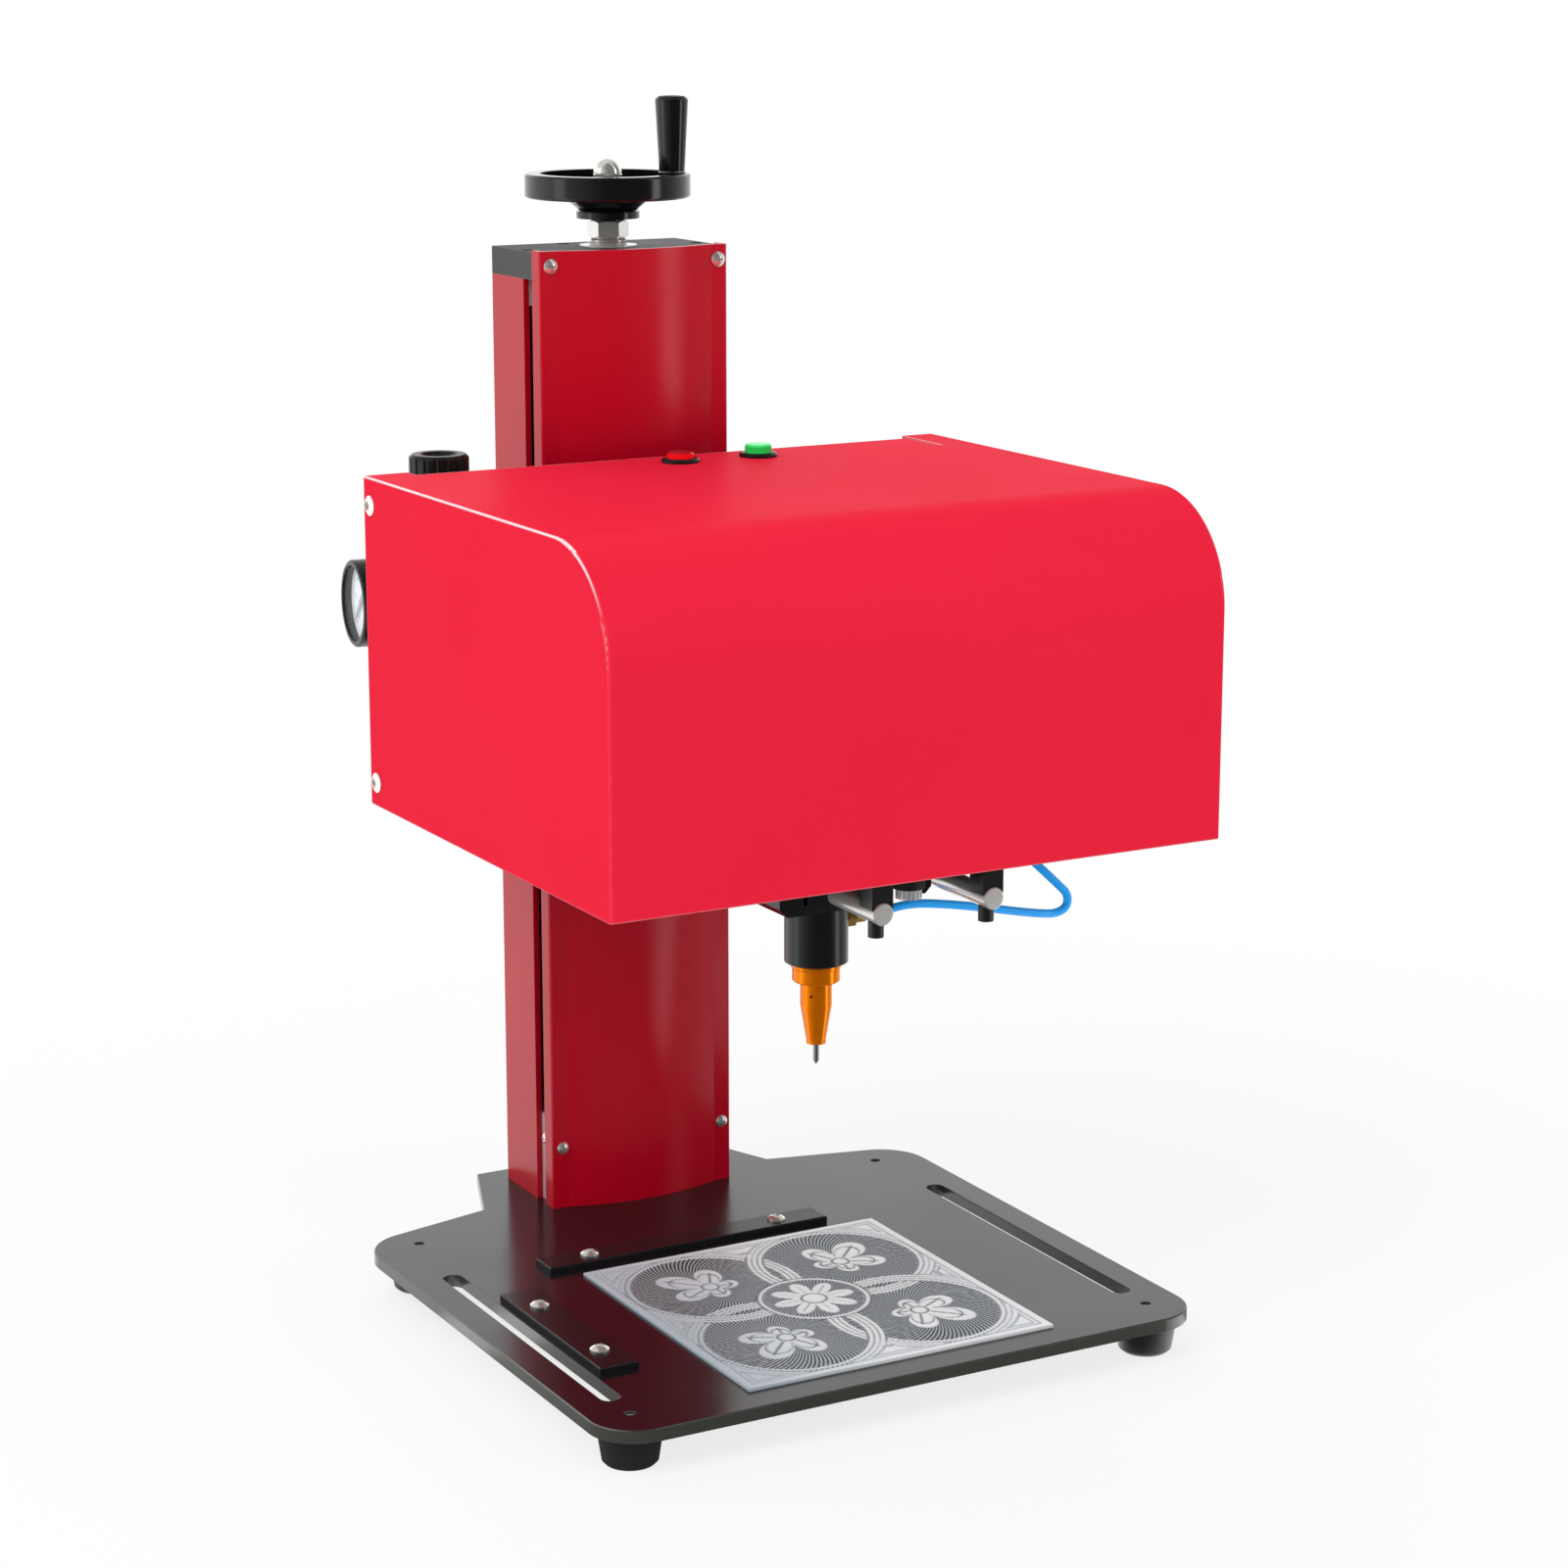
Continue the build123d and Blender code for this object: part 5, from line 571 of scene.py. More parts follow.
@dataclass(frozen=True)
class SampleAlloy:
    """Bright brushed alloy of the sample plate, hatched in the recesses on a near-black ground of
    painted shade.

    The metal has painted shade: it is bluer and darker left of cool_end and bright right
    of bright_start, both in metres from the middle plane. Other lengths are in millimetres.
    """

    # painted shade: cool on the left, bright on the right
    cool: Color = (0.50, 0.57, 0.63)
    bright: Color = (0.93, 0.95, 0.97)
    streak: Color = (0.42, 0.46, 0.50)
    # near-black ground of the recesses: painted shade
    ground: Color = (0.026, 0.030, 0.034)
    stroke: Color = (0.44, 0.48, 0.51)
    cool_end: float = -0.08
    bright_start: float = 0.0
    brushing: Point = (0.05, 1.0, 1.0)
    brush_share: float = 0.05
    streak_share: float = 0.14
    pitch: float = 1.9
    shake: float = 1.2
    stroke_wave: Span = (-0.5, 0.8)
    roughness: float = 0.42
    patch_scale: float = 20.0
    metallic: float = 0.15
    specular: float = 0.2
    relief: float = 0.10
    relief_strength: float = 0.7

    def material(self, effects: Effects) -> bpy.types.Material:
        """Build the material: a sine of the hatching's length makes the strokes.

        Args:
            effects: The shared node groups.

        Returns:
            The material.
        """
        material, sheet = new_material("finish_sample_alloy")
        recess = sheet.add("Attribute", attribute_name="recess").outputs["Fac"]
        count = sheet.add("Attribute", attribute_name="hatch").outputs["Fac"]
        across = sheet.split(sheet.add("TexCoord").outputs["Object"])["X"]
        # painted shade: darker and bluer towards the left of the plate
        painted_light_share = sheet.ramp(across, self.cool_end, self.bright_start)
        plain = sheet.mix(painted_light_share, opaque(self.cool), opaque(self.bright))
        patches = {"Roughness": self.roughness, "Scale": self.patch_scale}
        cloud = sheet.add("Group", patches, node_tree=effects.cloud).outputs
        brush = sheet.add("Group", {"Stretch": self.brushing}, node_tree=effects.grain).outputs
        shaken = sheet.math("MULTIPLY_ADD", brush["Height"], self.shake, count)
        wave = sheet.math("SINE", sheet.math("MULTIPLY", shaken, FULL_TURN / self.pitch))
        strokes = sheet.ramp(wave, *self.stroke_wave)
        # painted shade in the recesses: engraved hatch strokes on a near-black ground
        dark = sheet.mix(strokes, opaque(self.ground), opaque(self.stroke))
        streaks = sheet.math("MULTIPLY", brush["Shade"], self.streak_share)
        light = sheet.mix(streaks, plain, opaque(self.streak))
        brushed = sheet.math("MULTIPLY", brush["Height"], self.brush_share)
        bump = sheet.add("Bump", {
            "Height": sheet.math("ADD", brushed, sheet.math("MULTIPLY", strokes, recess)),
            "Distance": self.relief * MM,
            "Strength": self.relief_strength,
        })
        shader = sheet.add("BsdfPrincipled", {
            # the recesses take the painted shade and the hatching
            "Base Color": sheet.mix(recess, light, dark),
            "Roughness": cloud["Roughness"],
            "Metallic": self.metallic,
            "Normal": bump.outputs[0],
            "Specular IOR Level": self.specular,
        })
        sheet.add("OutputMaterial", {"Surface": shader.outputs[0]})
        return material


@dataclass(frozen=True)
class Lobes:
    """Lobes round a heart, with a rib along each.

    The heart and the length are shares of a radius, and rib_end is one of the outline. The
    length is times even, plus lean times the cosine of the angle. The wall is in millimetres.
    """

    count: int
    heart: float
    length: float
    even: float
    lean: float
    rib_spread: float
    rib_end: float
    fullness: float = 0.6
    wall: Span = (-0.2, 0.5)

    def draw(self, reach: np.ndarray, angle: np.ndarray, radius: float) -> tuple[np.ndarray, ...]:
        """Draw the lobes: their outline is a rounded cosine of the angle, longest straight ahead.

        Args:
            reach: Millimetres from the middle.
            angle: Angle from straight ahead.
            radius: The radius in millimetres.

        Returns:
            How far the outline is from the middle, the share of ground outside it, and the
            distance from the nearest rib.
        """
        wave = angle * self.count / 2.0
        stretch = self.even + self.lean * np.cos(angle)
        outline = radius * (self.heart + self.length * np.abs(np.cos(wave)) ** self.fullness * stretch)
        ground = smooth_step(reach - outline, *self.wall)
        rib = np.abs(np.sin(wave)) * reach * self.rib_spread
        return outline, ground, np.where(reach < outline * self.rib_end, rib, np.inf)


@dataclass
class Relief:
    """What is carved into the sample plate, at each point of its grid.

    u and v are millimetres across and along from the plate's centre, and inward is from its
    edge. Depth and recess are shares of a full one. The strokes of the hatching are counted
    along hatch, in millimetres.
    """

    u: np.ndarray
    v: np.ndarray
    inward: np.ndarray
    depth: np.ndarray
    recess: np.ndarray
    hatch: np.ndarray

    def carve(self, zone: np.ndarray, depth: np.ndarray, recess: np.ndarray) -> None:
        """Carve a zone anew and leave the rest."""
        self.depth = np.where(zone, depth, self.depth)
        self.recess = np.where(zone, recess, self.recess)


@dataclass
class SamplePlate:
    """Embossed sample plate on the deck.

    Sizes are in millimetres and turns in degrees, and a share is of the size that it is
    multiplied by.
    """

    step: float = 0.6
    depth: float = 0.40
    edge_drop: float = 0.15
    rim: float = 4.2
    rim_line: float = 0.8
    line: float = 0.32
    soft: float = 0.45
    ring_place_share: float = 0.47
    ring_size_share: float = 0.545
    over_turns: tuple[float, float, float] = (180.0, 225.0, 270.0)
    band: float = 3.6
    band_margin: float = 1.0
    band_edge: float = 0.4
    core_share: float = 0.36
    core_depth: float = 0.7
    leaf: Lobes = Lobes(5, heart=0.14, length=0.50, even=0.66, lean=0.34, rib_spread=0.4, rib_end=0.85)
    ground_depth: float = 0.8
    vein_share: float = 0.76
    bud_share: float = 0.13
    bud_ring_share: float = 0.10
    hatch_turn_share: float = 0.7
    hatch_reach_share: float = 0.5
    trace: float = 2.4
    trace_clear: float = 0.8
    trace_border: float = 1.6
    boss_place_share: float = 0.88
    boss_rise: Span = (1.9, 2.4)
    boss_fall: Span = (3.3, 3.8)
    medallion_share: float = 0.36
    medallion_wall: Span = (4.0, 3.4)
    medallion_lines: Span = (3.2, 0.4)
    flower: Lobes = Lobes(8, heart=0.20, length=0.56, even=1.0, lean=0.0, rib_spread=0.5, rib_end=0.86)
    rib_start_share: float = 0.26
    eye_share: float = 0.22

    def lines(self, distance: np.ndarray) -> np.ndarray:
        """Depth share of a fine engraved line: 1 where the distance is near zero, with soft walls."""
        return 1.0 - smooth_step(np.abs(distance), self.line, self.line + self.soft)

    def rings(self, relief: Relief, half: Vector, inner: float) -> np.ndarray:
        """Carve four interlaced rings, each with a leaf on hatched ground in its own quarter.

        A band is a stretch of distance from its ring's circle. On one diagonal a ring lies
        over the others where its angle is below the first of over_turns or between the
        other two, and on the other diagonal elsewhere. The upper layer is carved last.

        Args:
            relief: The plain plate.
            half: Half of the plate's size.
            inner: Half of the shorter side within the rim.

        Returns:
            Where a point is outside all rings.
        """
        u = relief.u * inner / (half.x - self.rim)
        v = relief.v * inner / (half.y - self.rim)
        place = inner * self.ring_place_share
        radius = inner * self.ring_size_share
        free = np.ones(u.shape, bool)
        bands = []
        for side_u, side_v in ((1, 1), (-1, 1), (1, -1), (-1, -1)):
            a = u * side_u - place
            b = v * side_v - place
            reach = np.hypot(a, b)
            free &= reach >= radius
            turn = np.degrees(np.arctan2(b, a)) % 360.0
            first, second, third = self.over_turns
            over = ((turn < first) | ((turn > second) & (turn < third))) == (side_u * side_v > 0)
            bands.append((np.abs(reach - radius), over))
            along = np.arctan2(b - a, a + b)
            outline, ground, ribs = self.leaf.draw(reach, along, radius)
            veins = np.maximum(self.lines(ribs), self.lines(reach - outline * self.vein_share))
            bud = self.lines(reach - radius * self.bud_ring_share)
            veins = (1.0 - ground) * np.where(reach > radius * self.bud_share, veins, bud)
            quarter = (reach < radius) & (u * side_u > 0.0) & (v * side_v > 0.0)
            relief.carve(quarter, np.maximum(self.ground_depth * ground, veins), np.maximum(ground, veins))
            sweep = along * radius * self.hatch_turn_share * side_u * side_v
            relief.hatch = np.where(quarter, sweep + self.hatch_reach_share * reach, relief.hatch)
        for upper in (False, True):
            for away, over in bands:
                zone = (away < self.band + self.band_margin) & (over == upper)
                core = self.core_depth * self.lines(away - self.band * self.core_share)
                cut = np.maximum(self.lines(away - self.band - self.band_edge), core)
                relief.carve(zone, cut, cut)
        return free

    def margins(self, relief: Relief, inner: float, free: np.ndarray) -> None:
        """Carve a line that follows the rings and the border, and a boss at each side's middle.

        Args:
            relief: What is carved so far.
            inner: Half of the shorter side within the rim.
            free: Where a point is outside all rings.
        """
        across = np.abs(relief.u)
        along = np.abs(relief.v)
        border = relief.inward - self.rim
        place = inner * self.ring_place_share
        nearest = np.hypot(across - place, along - place) - inner * self.ring_size_share
        follow = nearest - self.band - self.trace
        trace = np.maximum(self.lines(follow), self.lines(border - self.trace))
        trace = np.where((follow < -self.trace_clear) | (border < self.trace_border), 0.0, trace)
        far = inner * self.boss_place_share
        away = np.minimum(np.hypot(across - far, relief.v), np.hypot(relief.u, along - far))
        boss = smooth_step(away, *self.boss_rise) * (1.0 - smooth_step(away, *self.boss_fall))
        cut = np.maximum(trace, boss)
        relief.carve(free & (nearest > self.band + self.band_margin) & (border > 0), cut, cut)

    def medallion(self, relief: Relief, size: float) -> None:
        """Carve the round flower, with lines round it and round its eye.

        Args:
            relief: What is carved so far.
            size: The medallion's radius.
        """
        reach = np.hypot(relief.u, relief.v)
        angle = np.arctan2(relief.v, relief.u)
        start, end = self.medallion_wall
        ground, ribs = self.flower.draw(reach, angle, size)[1:]
        ribs = self.lines(ribs) * (reach > size * self.rib_start_share)
        flower = np.maximum(ground * (1.0 - smooth_step(reach, size - start, size - end)), ribs)
        for radius in (*(size - gap for gap in self.medallion_lines), size * self.eye_share):
            flower = np.maximum(flower, self.lines(reach - radius))
        relief.carve(reach < size, flower, flower)
        relief.hatch = np.where(reach < size, angle * size, relief.hatch)

    def relief(self, half: Vector, rows: int, columns: int) -> Relief:
        """Work out what is carved over the plate.

        The design is a round flower in the middle over four interlaced rings, each with a
        leaf of five lobes. Outside the rings the plate is plain but for its margins.

        Args:
            half: Half of the plate's size.
            rows: Points along y.
            columns: Points along x.

        Returns:
            The relief.
        """
        u, v = np.meshgrid(np.linspace(-half.x, half.x, columns), np.linspace(-half.y, half.y, rows))
        inward = np.minimum(half.x - np.abs(u), half.y - np.abs(v))
        relief = Relief(u, v, inward, *np.zeros((3, rows, columns)))
        inner = min(half.x, half.y) - self.rim
        self.margins(relief, inner, self.rings(relief, half, inner))
        self.medallion(relief, inner * self.medallion_share)
        frame_line = self.lines(inward - self.rim)
        relief.carve(inward - self.rim <= self.rim_line, frame_line, frame_line)
        return relief

    def build(self, dresser: Dresser) -> bpy.types.Object:
        """Build the plate: a height field on a grid, with walls down to its underside.

        Args:
            dresser: Holds the shared node groups.

        Returns:
            The plate.
        """
        low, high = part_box("sample_plate")
        centre = (low + high) / 2
        size = (high - low) / MM
        columns = int(size.x / self.step) + 1
        rows = int(size.y / self.step) + 1
        relief = self.relief(size / 2, rows, columns)
        top = high.z - np.where(relief.inward <= 0, self.edge_drop, relief.depth * self.depth) * MM
        field = np.stack([centre.x + relief.u * MM, centre.y + relief.v * MM, top], axis=-1).reshape(-1, 3)
        points, faces = close_below(field, rows, columns, Vector((centre.x, centre.y, low.z)))
        smooth = np.arange(len(faces)) < (rows - 1) * (columns - 1)
        piece = mesh_object("sample_relief", points, faces, smooth)
        for label, values in (("recess", relief.recess), ("hatch", relief.hatch)):
            layer = piece.data.attributes.new(label, "FLOAT", "POINT")
            padded = np.pad(values.ravel(), (0, len(points) - len(field)))
            layer.data.foreach_set("value", padded.astype(np.float32))
        dresser.cover(piece, SampleAlloy().material(dresser.effects))
        settle(piece, "sample", ["sample_plate"])
        return piece


@dataclass(frozen=True)
class GaugeGlass:
    """Clear window glass: light goes almost straight through, and a little is mirrored."""

    color: Color = (0.97, 0.98, 0.99)
    roughness: float = 0.03
    ior: float = 1.45
    alpha: float = 0.05
    specular: float = 0.3

    def material(self) -> bpy.types.Material:
        """Build the material.

        Returns:
            The material.
        """
        material, sheet = new_material("finish_gauge_glass")
        shader = sheet.add("BsdfPrincipled", {
            "Base Color": opaque(self.color),
            "Roughness": self.roughness,
            "IOR": self.ior,
            "Alpha": self.alpha,
            "Specular IOR Level": self.specular,
        })
        sheet.add("OutputMaterial", {"Surface": shader.outputs[0]})
        return material


@dataclass
class Gauge:
    """Printed face and window of the pressure gauge. Sizes are in millimetres."""

    centre_x: float = -103.7
    centre_z: float = 314.0
    turn: float = math.radians(6.6)
    face: float = 38.6
    start: float = math.radians(225.0)
    sweep: float = math.radians(270.0)
    tick_outer: float = 16.6
    major_length: float = 3.0
    minor_length: float = 1.7
    major_half: float = 0.20
    minor_half: float = 0.10
    minor_count: int = 50
    major_every: int = 5
    print_height: float = 0.05
    line_width: float = 0.3
    band_width: float = 0.9
    band_shares: Span = (0.35, 0.7)
    arc_points: int = 73
    last_number: int = 10
    number_step: int = 2
    digit_size: float = 3.0
    digit_radius: float = 10.8

    def axes(self) -> tuple[Vector, Vector, Vector, Vector]:
        """Find how the dial stands.

        Returns:
            The centre of the dial's face, and its directions right, up and outwards.
        """
        out = Vector((-math.cos(self.turn), math.sin(self.turn), 0.0))
        up = Vector((0.0, 0.0, 1.0))
        right = (-out).cross(up)
        centre = machine(self.centre_x, 0.0, self.centre_z) + out * self.face * MM
        return centre, right, up, out

    def lay(self, flat: np.ndarray) -> np.ndarray:
        """Lay rows of millimetres right, up and off the face on the dial, in metres."""
        centre, right, up, out = self.axes()
        return np.array(centre) + flat * MM @ np.array([right, up, out])

    def bars(self) -> bpy.types.Object:
        """Print the scale's bars: thin blocks on rays of the dial, longer at each major mark.

        Returns:
            The bars.
        """
        index = np.arange(self.minor_count + 1)
        angle = self.start - self.sweep * index / self.minor_count
        major = index % self.major_every == 0
        length = np.where(major, self.major_length, self.minor_length)
        half = np.where(major, self.major_half, self.minor_half)
        ray = np.stack([np.cos(angle), np.sin(angle)], axis=-1)
        across = np.stack([-np.sin(angle), np.cos(angle)], axis=-1)
        corners = []
        for height in (0.0, self.print_height):
            for inward, side in ((0.0, -1.0), (0.0, 1.0), (1.0, 1.0), (1.0, -1.0)):
                place = ray * (self.tick_outer - inward * length)[:, None] + across * (side * half)[:, None]
                corners.append(np.column_stack([place, np.full(len(index), height)]))
        points = np.stack(corners, axis=1).reshape(-1, 3)
        block = np.array([[0, 3, 2, 1], [4, 5, 6, 7], [0, 1, 5, 4], [1, 2, 6, 5], [2, 3, 7, 6], [3, 0, 4, 7]])
        faces = (block[None] + index[:, None, None] * len(corners)).reshape(-1, 4)
        return mesh_object("gauge_scale_bars", self.lay(points), faces.tolist())

    def arc(self, name: str, radius: float, width: float, first: float, last: float) -> bpy.types.Object:
        """Print an arc: a thin band of rectangular section along part of the sweep.

        Args:
            name: The piece's name.
            radius: The band's middle radius.
            width: The band's width.
            first: Share of the sweep where it starts.
            last: Share of the sweep where it ends.

        Returns:
            The band.
        """
        angle = self.start - self.sweep * np.linspace(first, last, self.arc_points)
        section = [(-0.5, 0.0), (-0.5, 1.0), (0.5, 1.0), (0.5, 0.0)]
        loops = []
        for across, up in section:
            reach = radius + across * width
            height = np.full(self.arc_points, up * self.print_height)
            loops.append(np.column_stack([reach * np.cos(angle), reach * np.sin(angle), height]))
        points = np.stack(loops, axis=1).reshape(-1, 3)
        faces = grid_faces(self.arc_points, len(section), wrap_columns=True)
        return mesh_object(name, self.lay(points), faces.tolist())

    def digits(self) -> bpy.types.Object:
        """Print the numbers round the dial: flat text that is made a mesh and laid on the dial.

        Returns:
            The numbers, as one thin mesh.
        """
        centre, right, up, out = self.axes()
        basis = Matrix((right, up, out)).transposed().to_4x4()
        points: list[np.ndarray] = []
        faces: list[list[int]] = []
        for mark in range(0, self.last_number + 1, self.number_step):
            text = bpy.data.curves.new(f"digits_{mark}", "FONT")
            text.body = str(mark)
            text.size = self.digit_size * MM
            text.extrude = self.print_height / 2 * MM
            text.align_x = "CENTER"
            text.align_y = "CENTER"
            source = bpy.data.objects.new(text.name, text)
            mesh = bpy.data.meshes.new_from_object(source)
            bpy.data.objects.remove(source)
            angle = self.start - self.sweep * mark / self.last_number
            offset = (right * math.cos(angle) + up * math.sin(angle)) * self.digit_radius * MM
            lift = out * self.print_height / 2 * MM
            mesh.transform(Matrix.Translation(centre + offset + lift) @ basis)
            flat = np.empty(len(mesh.vertices) * 3)
            mesh.vertices.foreach_get("co", flat)
            shift = sum(len(rows) for rows in points)
            faces += [[number + shift for number in face.vertices] for face in mesh.polygons]
            points.append(flat.reshape(-1, 3))
        return mesh_object("gauge_digits", np.concatenate(points), faces)

    def build(self, dresser: Dresser) -> None:
        """Print the dial, and glaze the gauge.

        Args:
            dresser: Holds the finishes.
        """
        within = self.tick_outer - self.major_length - self.band_width
        prints = (
            (self.bars(), "pointer_grey"),
            (self.digits(), "pointer_grey"),
            (self.arc("gauge_scale_line", self.tick_outer, self.line_width, 0.0, 1.0), "pointer_grey"),
            # the cap_green finish also gives the band painted emission
            (self.arc("gauge_working_band", within, self.band_width, *self.band_shares), "cap_green"),
        )
        for piece, finish in prints:
            dresser.paint(piece, finish)
            settle(piece, "head")
        dresser.cover(frame["nodes"]["gauge_lens"], GaugeGlass().material())


@dataclass
class ToothedBelt:
    """Timing belt round two pulleys. Sizes are in millimetres."""

    name: str
    node: str
    body: str
    first: Point
    second: Point
    inner: float = 6.02
    thickness: float = 1.2
    pitch: float = 2.0
    tooth: float = 0.55
    sunk_tooth: float = 0.35
    flank: float = 0.35
    tooth_points: int = 8

    def build(self, dresser: Dresser) -> bpy.types.Object:
        """Build the belt: its section follows two straight runs and two half turns.

        The inner face moves in and out by a rounded square wave of the length run, which
        makes the teeth; on the half turns they sink into the pulley's grooves.

        Args:
            dresser: Holds the finishes.

        Returns:
            The belt.
        """
        low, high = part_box(self.node)
        start = machine(*self.first)
        end = machine(*self.second)
        direction = (end - start).normalized()
        normal = Vector((direction.y, -direction.x, 0.0))
        span = (end - start).length / MM
        turn = math.pi * self.inner
        total = 2.0 * span + 2.0 * turn
        teeth = round(total / self.pitch)
        count = teeth * self.tooth_points
        s = np.linspace(0.0, total, count, endpoint=False)
        legs = [s < span, s < span + turn, s < 2.0 * span + turn]
        last_turn = math.pi + (s - 2.0 * span - turn) / self.inner
        angle = np.select(legs, [0.0, (s - span) / self.inner, math.pi], last_turn)
        run = np.select(legs, [s, span, 2.0 * span + turn - s], 0.0)
        out = np.outer(np.cos(angle), np.array(normal)) + np.outer(np.sin(angle), np.array(direction))
        middle = np.array(start)[None] + np.outer(run * MM, np.array(direction))
        wave = smooth_step(np.cos(s * FULL_TURN * teeth / total), -self.flank, self.flank)
        straight = legs[0] | (legs[2] & ~legs[1])
        inner = self.inner + np.where(straight, self.tooth, self.sunk_tooth) * (1.0 - wave)
        back = np.full(count, self.inner + self.thickness)
        section = ((inner, low.z), (back, low.z), (back, high.z), (inner, high.z))
        loops = [
            np.column_stack([(middle + out * (radius * MM)[:, None])[:, :2], np.full(count, level)])
            for radius, level in section
        ]
        points = np.stack(loops, axis=1).reshape(-1, 3)
        faces = grid_faces(count, len(section), wrap_rows=True, wrap_columns=True)
        piece = mesh_object(self.name, points, faces.tolist())
        dresser.paint(piece, "belt_rubber")
        settle(piece, self.body, [self.node])
        return piece


TUBE_ROUTE = (
    (3.0, -207.0, 193.2),
    (15.5, -207.0, 193.2),
    (31.0, -207.0, 195.3),
    (52.0, -207.0, 192.0),
    (74.0, -207.0, 187.2),
    (90.0, -207.0, 183.5),
    (100.5, -207.0, 181.4),
    (109.0, -207.0, 180.2),
    (115.2, -207.0, 182.4),
    (115.8, -206.9, 188.6),
    (110.4, -206.6, 193.8),
    (102.6, -204.9, 201.6),
    (94.0, -201.4, 210.2),
    (83.5, -198.0, 217.6),
    (72.5, -197.0, 219.0),
    (60.1, -197.0, 219.0),
)


@dataclass
class AirTube:
    """Blue air tube of the pen. Sizes are in millimetres."""

    radius: float = 2.0
    length: float = 187.1
    order: int = 3
    steps: int = 12
    round_steps: int = 6

    def build(self, dresser: Dresser) -> bpy.types.Object:
        """Build the tube: a round section along a smooth spline.

        The spline goes out of the brass fitting, round the fold and back to the arm.

        Args:
            dresser: Holds the finishes.

        Returns:
            The tube.
        """
        points = [machine(*point) for point in TUBE_ROUTE]
        curve = bpy.data.curves.new("air_hose", "CURVE")
        curve.dimensions = "3D"
        spline = curve.splines.new("NURBS")
        spline.points.add(len(points) - 1)
        flat = np.array([[*point, 1.0] for point in points], np.float32).ravel()
        spline.points.foreach_set("co", flat)
        spline.order_u = self.order
        spline.use_endpoint_u = True
        spline.resolution_u = self.steps
        curve.bevel_depth = self.radius * MM
        curve.bevel_resolution = self.round_steps
        curve.use_fill_caps = True
        piece = new_object("air_hose", curve)
        dresser.paint(piece, "tube_blue")
        settle(piece, "pen_carriage", ["air_tube"])
        return piece


@dataclass(frozen=True)
class Panel:
    """Tall soft light that only glossy surfaces show. Angles are in degrees."""

    azimuth: float
    half_width: float
    soft: float
    strength: float

    def shine(self, sheet: Sheet, heading: Socket) -> Socket:
        """Brightness of the panel in a level heading.

        Args:
            sheet: Where the nodes go.
            heading: Level direction of length one.

        Returns:
            The panel's strength within its width, and none outside.
        """
        turn = math.radians(self.azimuth)
        middle = (math.sin(turn), -math.cos(turn), 0.0)
        near = sheet.vector("DOT_PRODUCT", heading, middle)["Value"]
        outer = math.cos(math.radians(self.half_width + self.soft))
        inner = math.cos(math.radians(self.half_width))
        return sheet.ramp(near, outer, inner, 0.0, self.strength)


@dataclass(frozen=True)
class Lamp:
    """Square soft lamp that glossy surfaces do not show. Lengths are in metres, power in watts."""

    name: str
    place: Point
    size: float
    power: float

    def hang(self) -> None:
        """Hang the lamp at its place, and turn it towards the machine's middle."""
        light = bpy.data.lights.new(self.name, "AREA")
        light.energy = self.power
        light.size = self.size
        lamp = new_object(self.name, light)
        lamp.visible_glossy = False
        lamp.location = self.place
        lamp.rotation_euler = (Vector(LAMP_TARGET) - Vector(self.place)).to_track_quat("-Z", "Y").to_euler()


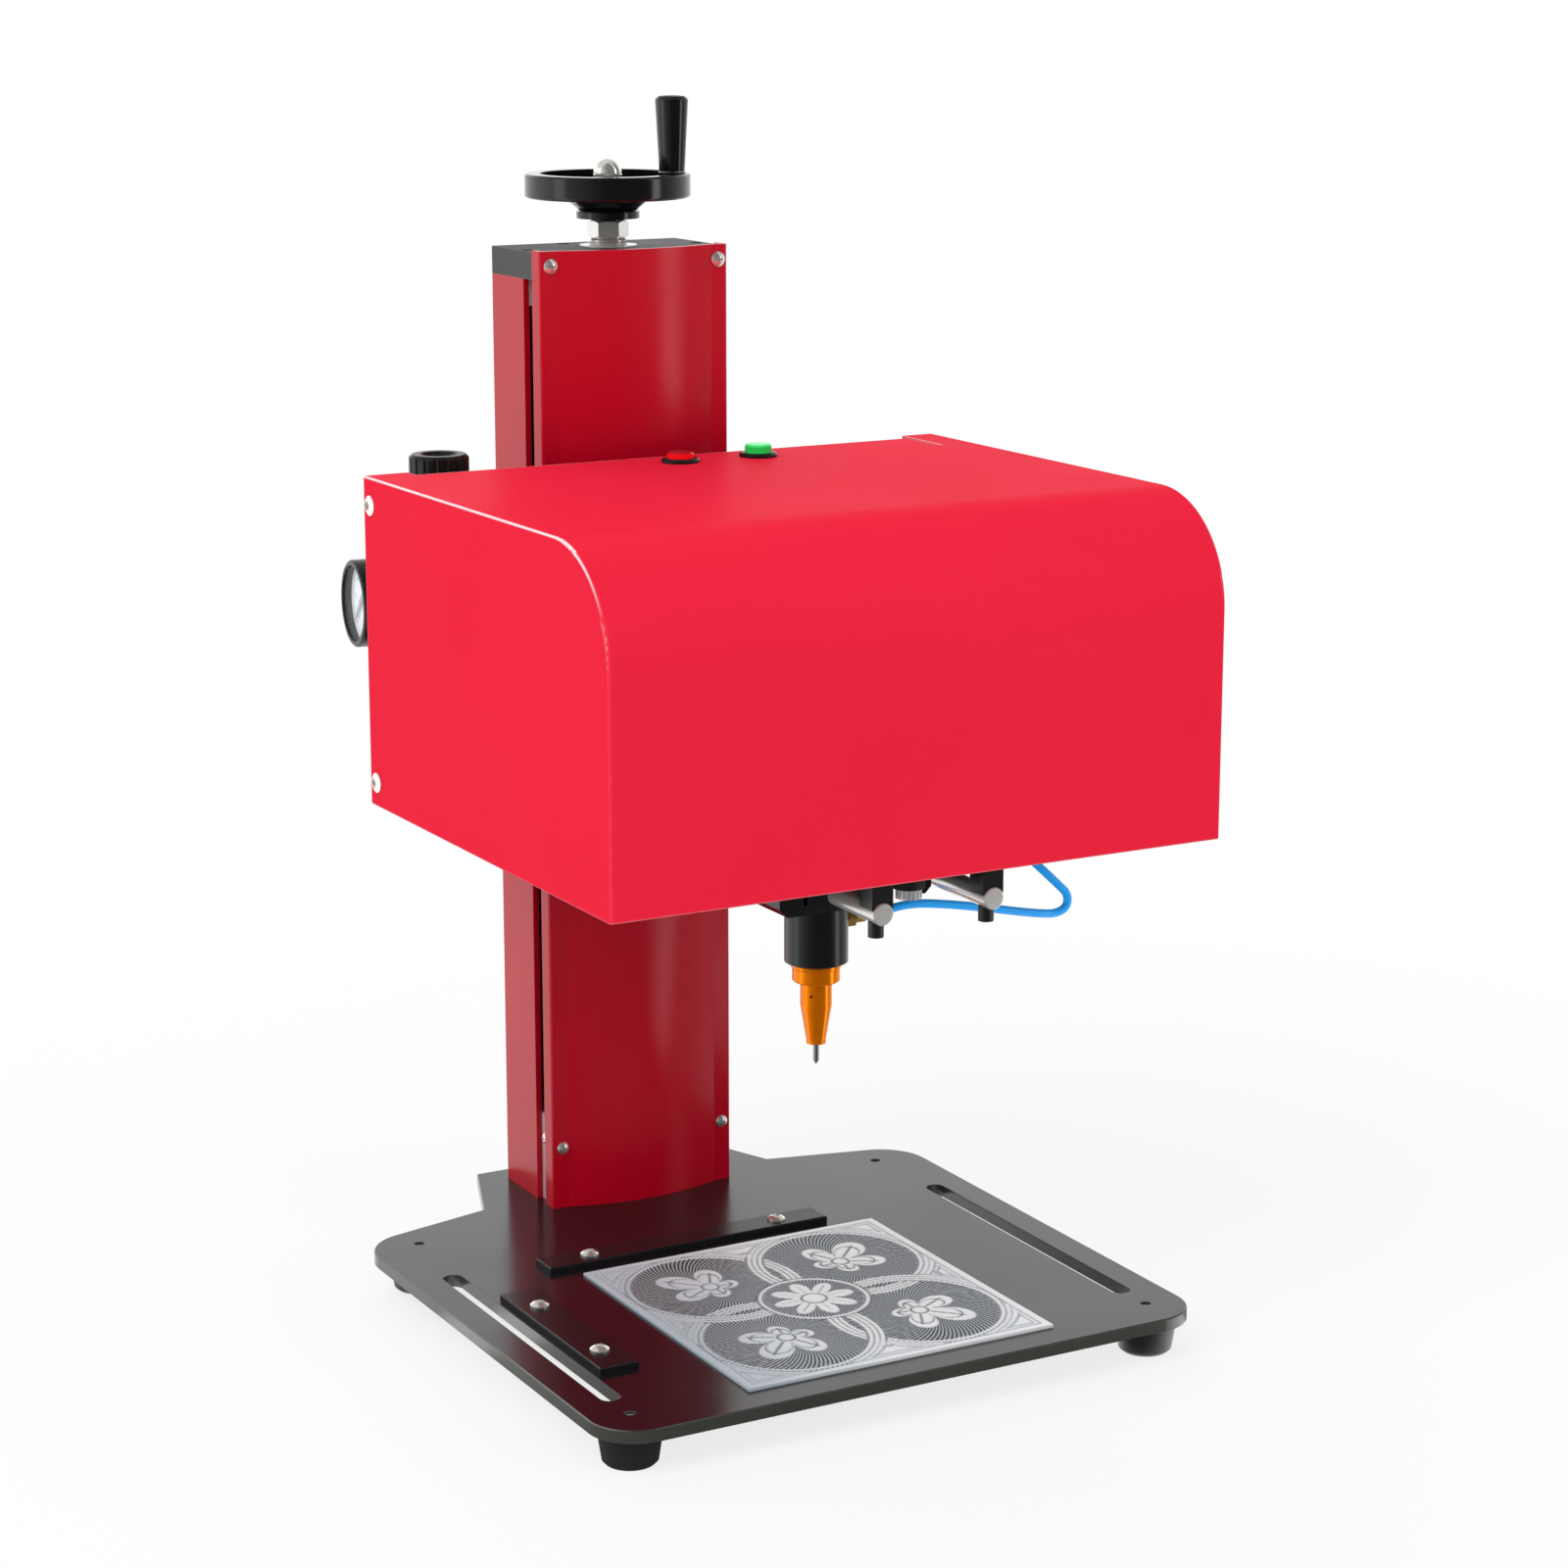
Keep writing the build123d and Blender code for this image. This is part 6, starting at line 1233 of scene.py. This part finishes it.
@dataclass
class Studio:
    """Plain pale floor, soft light and the camera.

    Lens and sensor are in millimetres, turns in degrees, and the eye is on the machine's
    drawing. The farthest that is shown, the floor and the fade are in metres. Brightness is
    1 for white, and gloss_depth and ceiling_height are the y and z of a direction between
    which it changes.
    """

    lens: float = 84.26
    sensor: float = 36.0
    farthest: float = 60.0
    yaw: float = 29.1
    pitch: float = 12.92
    eye: Point = (-793.89, -1572.45, 615.77)
    floor_half: float = 9.0
    floor_color: Color = (0.86, 0.86, 0.86)
    fade: Span = (0.3, 0.8)
    near_white: float = 0.8
    ambient: float = 0.60
    gloss_depth: Span = (-0.9, 0.5)
    front_gloss: float = 0.07
    back_gloss: float = 1.25
    ceiling_height: Span = (0.35, 0.6)
    ceiling: float = 0.45
    panels: tuple[Panel, ...] = (Panel(45.0, 3.0, 5.0, 2.6), Panel(-97.0, 5.0, 6.0, 1.0))
    lamps: tuple[Lamp, ...] = (
        Lamp("key", (-1.7, -0.7, 1.9), 1.4, 31.0),
        Lamp("fill", (1.3, -1.9, 0.8), 1.2, 11.0),
        Lamp("back", (0.3, 1.9, 1.9), 1.8, 21.0),
    )

    @staticmethod
    def rays(sheet: Sheet) -> tuple[Socket, Socket]:
        """Tell rays apart.

        Args:
            sheet: Where the nodes go.

        Returns:
            Whether a ray comes from the camera or through glass, and whether it is glossy.
        """
        path = sheet.add("LightPath").outputs
        direct = sheet.math("MAXIMUM", path["Is Camera Ray"], path["Is Transmission Ray"])
        return direct, path["Is Glossy Ray"]

    def surround(self, sheet: Sheet, heading: Socket) -> Socket:
        """Brightness that glossy surfaces mirror: dark in front, bright behind, and the panels.

        Args:
            sheet: Where the nodes go.
            heading: Direction that is looked in.

        Returns:
            The brightness.
        """
        level = sheet.vector("MULTIPLY", heading, (1.0, 1.0, 0.0))["Vector"]
        flat = sheet.vector("NORMALIZE", level)["Vector"]
        bright = sheet.ramp(sheet.split(flat)["Y"], *self.gloss_depth, self.front_gloss, self.back_gloss)
        for panel in self.panels:
            bright = sheet.math("ADD", bright, panel.shine(sheet, flat))
        return bright

    def floor(self) -> None:
        """Lay a wide floor that keeps soft shadows near the machine and is white beyond."""
        half = self.floor_half
        points = np.array([[-half, -half, 0.0], [half, -half, 0.0], [half, half, 0.0], [-half, half, 0.0]])
        piece = mesh_object("floor", points, [[0, 1, 2, 3]])
        material, sheet = new_material("floor_white")
        place = sheet.add("TexCoord").outputs["Object"]
        reach = sheet.vector("LENGTH", place)["Value"]
        direct, glossy = self.rays(sheet)
        share = sheet.math("MULTIPLY", direct, sheet.ramp(reach, *self.fade, self.near_white, 1.0))
        diffuse = sheet.add("BsdfDiffuse", {"Color": opaque(self.floor_color)}).outputs[0]
        white = sheet.add("Emission", {"Color": WHITE, "Strength": 1.0}).outputs[0]
        shown = sheet.add("MixShader", {0: share, 1: diffuse, 2: white}).outputs[0]
        bright = self.surround(sheet, sheet.vector("NORMALIZE", place)["Vector"])
        gloss = sheet.add("Emission", {"Color": WHITE, "Strength": bright}).outputs[0]
        mixed = sheet.add("MixShader", {0: glossy, 1: shown, 2: gloss}).outputs[0]
        sheet.add("OutputMaterial", {"Surface": mixed})
        Dresser.cover(piece, material)

    def world(self) -> None:
        """Surround the machine with white, and light it a little less."""
        world = bpy.data.worlds.new("studio")
        bpy.context.scene.world = world
        world.use_nodes = True
        sheet = Sheet(world.node_tree)
        direct, glossy = self.rays(sheet)
        light = sheet.add("Background", {"Color": WHITE, "Strength": self.ambient}).outputs[0]
        shown = sheet.add("Background", {"Color": WHITE, "Strength": 1.0}).outputs[0]
        heading = sheet.add("TexCoord").outputs["Generated"]
        sky = sheet.ramp(sheet.split(heading)["Z"], *self.ceiling_height, 1.0, self.ceiling)
        strength = sheet.math("MULTIPLY", self.surround(sheet, heading), sky)
        mirrored = sheet.add("Background", {"Color": WHITE, "Strength": strength}).outputs[0]
        gloss = sheet.add("MixShader", {0: glossy, 1: light, 2: mirrored}).outputs[0]
        mixed = sheet.add("MixShader", {0: direct, 1: gloss, 2: shown}).outputs[0]
        sheet.add("OutputWorld", {"Surface": mixed})

    def camera(self) -> None:
        """Stand the camera at the photograph's place."""
        data = bpy.data.cameras.new("camera")
        data.lens = self.lens
        data.sensor_width = self.sensor
        data.clip_end = self.farthest
        camera = new_object("camera", data)
        camera.location = machine(*self.eye)
        camera.rotation_euler = (math.radians(90.0 - self.pitch), 0.0, math.radians(-self.yaw))
        bpy.context.scene.camera = camera

    def build(self) -> None:
        """Set up the whole studio."""
        bpy.context.scene.view_settings.view_transform = "Standard"
        self.floor()
        self.world()
        for lamp in self.lamps:
            lamp.hang()
        self.camera()


def main() -> None:
    """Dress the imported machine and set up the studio."""
    logging.basicConfig(level=logging.INFO)
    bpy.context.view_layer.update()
    dresser = Dresser()
    dresser.dress_nodes()
    AirTube().build(dresser)
    SamplePlate().build(dresser)
    Gauge().build(dresser)
    ToothedBelt("x_timing_belt", "x_belt", "head", (-123, -146, 0), (123, -146, 0)).build(dresser)
    ToothedBelt("y_timing_belt", "y_belt", "cross_carriage", (12.6, -236, 0), (12.6, -94, 0)).build(dresser)
    Studio().build()


if __name__ == "__main__":
    main()
